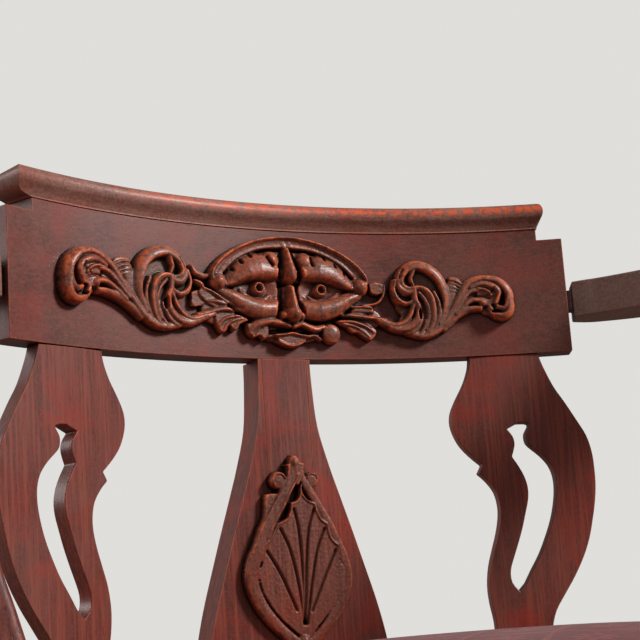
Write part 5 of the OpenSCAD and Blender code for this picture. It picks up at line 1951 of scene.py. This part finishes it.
@dataclass
class LooseSeat:
    """Drop-in seat: beech frame, webbing, hessian, stuffing and a cover of damask."""

    radius: float = 316.0
    land: float = 28.0
    bow: float = 1100.0
    bow_centre: float = 603.6
    block: float = 46.0
    gap: float = 1.2
    crown: float = 34.0
    frame_thickness: float = 18.0
    strap: float = 50.0
    strap_thickness: float = 1.5
    back_notch: float = 82.0
    side_notch: float = 40.0
    stuffing_inset: float = 13.0
    shares: tuple[float, ...] = (0.0, 0.012, 0.05, 0.12, 0.22, 0.36, 0.52, 0.7, 0.86, 0.97)
    foot: float = field(init=False)
    frame_top: float = field(init=False)

    def __post_init__(self) -> None:
        """Read heights from the frame."""
        self.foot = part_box("seat_frame_rear_left")[0][2] / MM
        self.frame_top = self.foot + self.frame_thickness

    def outline(self, inset: float, steps: int = 40) -> Array:
        """Outline of the seat with its notches round the posts.

        Args:
            inset: Distance in from the wall of the rebate.
            steps: Steps along each long side.

        Returns:
            Points in millimetres, counter-clockwise.
        """
        r = self.radius - self.land - inset
        rb = self.bow - self.land - inset
        bn, by = self.back_notch + inset, self.radius - self.block - 12 - inset
        sn, sx = self.side_notch + inset, self.radius - self.block - 3 - inset
        a1, a2 = math.asin(sn / r), math.acos(bn / r)
        rear = [(r * math.cos(a), r * math.sin(a)) for a in np.linspace(a1, a2, steps)]
        start, end = -math.acos(self.bow_centre / rb), -math.acos((sx + self.bow_centre) / rb)
        front = [(-self.bow_centre + rb * math.cos(a), self.bow_centre + rb * math.sin(a))
                 for a in np.linspace(start, end, steps)]
        flip = lambda rows: [(-x, y) for x, y in rows]
        ring = [*rear, (bn, by), (-bn, by), *flip(rear)[::-1], (-sx, sn), *flip(front[1:])[::-1], *front, (sx, sn)]
        return np.array(ring)

    def build(self) -> None:
        """Make and dress every piece of the seat."""
        for node in ("rear_left", "rear_right", "front_left", "front_right"):
            soften(f"seat_frame_{node}", f"seat_frame_bare_{node}", 0.9, Finishes.beech, SEAT_BODY, "beech", 2)
        soften("seat_frame_dowels", "frame_dowels", 0.4, Finishes.beech, SEAT_BODY, "beech", 1)
        self.webbing()
        self.hessian()
        self.stuffing()
        self.cover()
        self.margin()
        self.tacks()

    def reach(self, across: float, front: bool) -> float:
        """Distance from the middle to the webbing's end, at a distance across it.

        Args:
            across: Distance from the middle line.
            front: Whether it ends at the front rails.

        Returns:
            The distance.
        """
        inset = 16.0
        if not front:
            return math.sqrt((self.radius - self.land - inset) ** 2 - across**2)
        rb = self.bow - self.land - inset
        return math.sqrt(rb**2 - (abs(across) + self.bow_centre) ** 2) - self.bow_centre

    def webbing(self) -> None:
        """Straps woven over and under each other."""
        pitch = self.strap * 1.7
        points, marks = [], {"turn": [], "length": [], "phase": []}
        z = self.frame_top + self.strap_thickness
        for k in (-1.5, -0.5, 0.5, 1.5):
            at = k * pitch
            edge = abs(at) + self.strap / 2
            wide = min(self.reach(edge, at < 0), self.radius - self.block - 12)
            points.append((0.0, at * MM, z * MM))
            far, near = min(self.reach(edge, False), self.radius - self.block - 20), self.reach(edge, True)
            points.append((at * MM, (far - near) / 2 * MM, z * MM))
            marks["turn"] += [0.0, math.pi / 2]
            marks["length"] += [2 * wide * MM, (far + near) * MM]
            marks["phase"] += [math.pi * (k - 0.5), math.pi * (k + 0.5)]
        work = Pattern("seat_webbing_straps", {"Width": self.strap * MM, "Thickness": 1.3 * MM,
                                               "Wave": 0.75 * MM, "Pitch": pitch * MM}, Finishes.webbing)
        tree = work.tree
        strap = tree.add("GeometryNodeMeshCube", {"Size": work.combine(1.0, work.size("Width"), work.size("Thickness")),
                                                  "Vertices X": 160, "Vertices Y": 6, "Vertices Z": 2})
        laid = work.copies(work.size("Geometry"), strap.outputs[0], work.combine(0.0, 0.0, work.mark("turn")),
                           work.combine(work.mark("length"), 1.0, 1.0))

        def wave(real: Socket) -> Socket:
            """Wave each strap over and under its neighbours.

            Args:
                real: The straps as real mesh.

            Returns:
                The waved straps.
            """
            at = tree.add("ShaderNodeSeparateXYZ", {0: tree.add("GeometryNodeInputPosition").outputs[0]})
            turned = tree.sum("GREATER_THAN", work.mark("turn"), 0.5)
            along = tree.add("ShaderNodeMix", {0: turned, 2: at.outputs[0], 3: at.outputs[1]}).outputs[0]
            place = tree.sum("DIVIDE", tree.times(along, math.pi), work.size("Pitch"))
            rise = tree.times(tree.sum("SINE", tree.sum("ADD", place, work.mark("phase"))), work.size("Wave"))
            return tree.add("GeometryNodeSetPosition", {"Geometry": real,
                                                        "Offset": work.combine(0.0, 0.0, rise)}).outputs[0]

        piece = work.run(laid, np.array(points), marks, wave=wave)
        dress(piece, SEAT_BODY, Finishes.webbing, "jute", "seat_webbing")

    def plate(self, name: str, inset: float, low: float, high: float) -> Object:
        """Thin plate with the seat's outline.

        Args:
            name: Name of the piece.
            inset: Distance in from the wall of the rebate.
            low: Height of its underside.
            high: Height of its top.

        Returns:
            The new object.
        """
        ring = self.outline(inset)
        rings = [np.column_stack([ring, np.full(len(ring), z)]) * MM for z in (low, high)]
        return loft(name, rings)

    def hessian(self) -> None:
        """Hessian over the webbing."""
        low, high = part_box("seat_hessian")
        piece = self.plate("seat_hessian_cloth", 9, low[2] / MM, high[2] / MM)
        dress(piece, SEAT_BODY, Finishes.hessian, "jute", "seat_hessian")

    def stuffing(self) -> None:
        """Horsehair under the cover."""
        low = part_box("seat_hessian")[1][2] / MM
        rings = [self.ring(self.stuffing_inset, share, low if share == 0 else None) for share in self.shares]
        piece = loft("seat_horsehair", rings)
        dress(piece, SEAT_BODY, Finishes.horsehair, "horsehair", "seat_stuffing")

    def ring(self, inset: float, share: float, level: float | None = None) -> Array:
        """Ring round the crown of the seat.

        Args:
            inset: Distance in from the wall of the rebate at the edge.
            share: How far in towards the middle, from 0 to 1.
            level: Its height, or None for the crown's own.

        Returns:
            The ring in metres.
        """
        ring = self.outline(inset)
        away = np.hypot(ring[:, 0], ring[:, 1])
        even = (self.radius - self.land - 16 - inset) * ring / away[:, None]
        fade = min(1.0, share * 2.2)
        flat = (ring * (1 - fade) + even * fade) * (1 - share)
        rise = self.frame_top + (self.crown - inset * 0.6) * (1 - (1 - share) ** 2.6) ** 0.62
        height = np.full(len(ring), rise if level is None else level)
        return np.column_stack([flat, height]) * MM

    def cover(self) -> None:
        """Cover, blown up over its stuffing as cloth and cut open underneath."""
        start = 2.6
        rings = [self.ring(self.gap + start, 0, self.foot + 1)] + [
            self.ring(self.gap + start, share, self.frame_top + 4 if share == 0 else None) for share in self.shares]
        piece = loft("seat_cover_damask", rings)
        self.inflate(piece, start)
        self.open_below(piece)
        thick = piece.modifiers.new("thickness", "SOLIDIFY")
        thick.thickness = 1.1 * MM
        thick.offset = -1
        settle(piece)
        piece.data.shade_smooth()
        dress(piece, SEAT_BODY, Finishes.damask, "seat_cloth", "seat_cover")

    def inflate(self, piece: Object, limit: float) -> None:
        """Blow the cover up as cloth, held at its lower edge.

        Args:
            piece: The closed form of the cover.
            limit: How far its sides may move in millimetres.
        """
        remesh = piece.modifiers.new("even mesh", "REMESH")
        remesh.mode = "VOXEL"
        remesh.voxel_size = 6 * MM
        settle(piece)
        before = np.empty(len(piece.data.vertices) * 3)
        piece.data.vertices.foreach_get("co", before)
        before = before.reshape(-1, 3)
        held = piece.vertex_groups.new(name="held")
        held.add([i for i, row in enumerate(before) if row[2] < (self.frame_top + 2) * MM], 1.0, "REPLACE")
        cloth = piece.modifiers.new("blown up", "CLOTH")
        cloth.settings.use_pressure = True
        cloth.settings.uniform_pressure_force = 4.0
        cloth.settings.effector_weights.gravity = 0.0
        cloth.settings.vertex_group_mass = "held"
        cloth.settings.tension_stiffness = 25.0
        cloth.settings.compression_stiffness = 25.0
        cloth.settings.quality = 6
        cloth.point_cache.frame_end = 20
        for frame in range(1, 21):
            bpy.context.scene.frame_set(frame)
        settle(piece)
        bpy.context.scene.frame_set(1)
        after = np.empty(len(before) * 3)
        piece.data.vertices.foreach_get("co", after)
        after = after.reshape(-1, 3)
        moved = after - before
        level = np.clip((before[:, 2] / MM - self.frame_top) / 14, 0, 1)
        cap = (limit * 0.8 * (1 - level) + 7 * level) * MM
        length = np.maximum(np.linalg.norm(moved, axis=1), 1e-9)
        after = before + moved * np.minimum(1, cap / length)[:, None]
        piece.data.vertices.foreach_set("co", after.ravel())
        piece.data.update()
        smooth = piece.modifiers.new("finer", "SUBSURF")
        smooth.levels = smooth.render_levels = 1
        settle(piece)

    def open_below(self, piece: Object) -> None:
        """Cut the underside off the cover and carry its edge down straight."""
        with editing(piece) as work:
            self._cut(work)

    def _cut(self, work: bmesh.types.BMesh) -> None:
        """Cut the cover's mesh open and turn it outwards.

        Args:
            work: The cover's mesh.
        """
        cut = bmesh.ops.bisect_plane(work, geom=[*work.verts, *work.edges, *work.faces], dist=1e-6,
                                     plane_co=(0, 0, (self.foot + 6) * MM), plane_no=(0, 0, 1), clear_inner=True)
        edges = [item for item in cut["geom_cut"] if isinstance(item, bmesh.types.BMEdge)]
        grown = bmesh.ops.extrude_edge_only(work, edges=edges)
        for item in grown["geom"]:
            if isinstance(item, bmesh.types.BMVert):
                item.co.z = (self.foot + 0.1) * MM
        bmesh.ops.recalc_face_normals(work, faces=work.faces)
        top = max(work.faces, key=lambda face: face.calc_center_median().z)
        if top.normal.z < 0:
            bmesh.ops.reverse_faces(work, faces=work.faces)

    def margin(self) -> None:
        """Edge of the cover, turned under the frame."""
        outer, inner = self.outline(self.gap + 2.8), self.outline(self.gap + 30)
        low, high = self.foot - 0.28, self.foot - 0.04
        rings = [np.column_stack([ring, np.full(len(ring), z)]) * MM
                 for ring, z in ((outer, low), (inner, low), (inner, high), (outer, high), (outer, low))]
        piece = loft("seat_cover_margin", rings, caps=False)
        dress(piece, SEAT_BODY, Finishes.damask, "seat_cloth")

    def tacks(self) -> None:
        """Tacks that hold the turned edge, clear of the glue blocks."""
        ring = self.outline(self.gap + 22)
        points, lines = [], []
        for i in range(len(ring)):
            here, after = ring[i], ring[(i + 1) % len(ring)]
            if all(min(abs(p[0]), abs(p[1])) > 70 for p in (here, after)):
                points += [here, after]
                lines.append((len(points) - 2, len(points) - 1))
        at = np.column_stack([np.array(points), np.full(len(points), self.foot - 0.3)]) * MM
        work = Pattern("seat_tacks", {"Spacing": 24 * MM, "Head": 3.2 * MM}, Finishes.steel)
        tree = work.tree
        merged = tree.add("GeometryNodeMergeByDistance", {"Geometry": work.size("Geometry"), "Distance": 0.0002})
        path = tree.add("GeometryNodeMeshToCurve", {"Mesh": merged.outputs[0]})
        spots = tree.add("GeometryNodeCurveToPoints", {"Curve": path.outputs[0], "Length": work.size("Spacing")},
                         mode="LENGTH")
        ball = tree.add("GeometryNodeMeshUVSphere", {"Segments": 10, "Rings": 6, "Radius": work.size("Head")})
        heads = work.copies(spots.outputs[0], ball.outputs[0], scale=(1, 1, 0.28))
        piece = work.run(heads, at, {}, lines)
        piece.data.shade_smooth()
        dress(piece, SEAT_BODY, Finishes.steel, "screw_steel")


# Studio


@dataclass
class Studio:
    """Camera at the photograph's view, pale floor and soft lamps."""

    eye: tuple[float, float, float] = (-0.47768, -0.73657, 0.48592)
    yaw: float = 0.46942
    pitch: float = 0.19694
    roll: float = -0.068576
    lens: float = 84.375

    def build(self) -> None:
        """Make the camera, the floor, the world and the lamps."""
        self.camera()
        self.floor()
        self.world()
        self.lamp("key", (2.1, -1.95, 2.5), (0.05, 0.22, 0.72), 0.62, 112)
        self.lamp("fill", (-2.6, 1.8, 1.7), (0.1, 0.2, 0.62), 1.5, 36)
        self.lamp("front", (-2.4, -2.2, 1.5), (0.1, 0.2, 0.62), 1.6, 8)
        bpy.context.scene.view_settings.view_transform = "Standard"

    def camera(self) -> None:
        """Camera of the photograph."""
        forward = Vector((math.sin(self.yaw) * math.cos(self.pitch), math.cos(self.yaw) * math.cos(self.pitch),
                          math.sin(self.pitch)))
        side = Vector((math.cos(self.yaw), -math.sin(self.yaw), 0))
        up = side.cross(forward)
        right = side * math.cos(self.roll) + up * math.sin(self.roll)
        top = up * math.cos(self.roll) - side * math.sin(self.roll)
        data = bpy.data.cameras.new("photograph")
        data.sensor_width = 36.0
        data.lens = self.lens
        data.clip_start = 0.01
        camera = enter("photograph", data)
        turn = Matrix((right, top, -forward)).transposed()
        camera.matrix_world = Matrix.Translation(self.eye) @ turn.to_4x4()
        bpy.context.scene.camera = camera

    def floor(self) -> None:
        """Pale floor that takes the chair's shadow."""
        half = 4.0
        floor = add_mesh("studio_floor", [(-half, -half, 0), (half, -half, 0), (half, half, 0), (-half, half, 0)],
                         [(0, 1, 2, 3)])
        floor.data.materials.append(FloorPaint().material())

    def world(self) -> None:
        """Pale background with a softer light of its own."""
        world = bpy.data.worlds.new("studio")
        world.use_nodes = True
        bpy.context.scene.world = world
        tree = Tree(world.node_tree)
        path = tree.add("ShaderNodeLightPath")
        seen = tree.sum("MAXIMUM", path.outputs["Is Camera Ray"], path.outputs["Is Transmission Ray"])
        strength = tree.sum("ADD", tree.times(seen, 0.65), 0.2)
        light = tree.add("ShaderNodeBackground", {"Color": linear((240, 239, 236)), "Strength": strength})
        tree.add("ShaderNodeOutputWorld", {"Surface": light.outputs[0]})

    @staticmethod
    def lamp(name: str, place: tuple[float, float, float], aim: tuple[float, float, float], size: float,
             power: float) -> None:
        """Add a square lamp.

        Args:
            name: Its name.
            place: Where it hangs, in metres.
            aim: What it is turned to.
            size: Its side in metres.
            power: Its power in watts.
        """
        data = bpy.data.lights.new(name, "AREA")
        data.size = size
        data.energy = power
        lamp = enter(name, data)
        lamp.location = place
        lamp.rotation_euler = (Vector(aim) - Vector(place)).to_track_quat("-Z", "Y").to_euler()


NODES: dict[str, Object] = {}


def main() -> None:
    """Load the frame, build the chair round it and keep its sizes."""
    logging.basicConfig(level=logging.INFO, format="%(name)s: %(message)s")
    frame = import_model()
    NODES.update({name: bpy.data.objects[name] if isinstance(node, str) else node
                  for name, node in frame["nodes"].items()})
    Studio().build()
    crest = Crest()
    crest.build()
    BackPost().build(crest)
    Legs().build()
    Joinery().build()
    BlockScrews().build()
    LooseSeat().build()


if __name__ == "__main__":
    main()
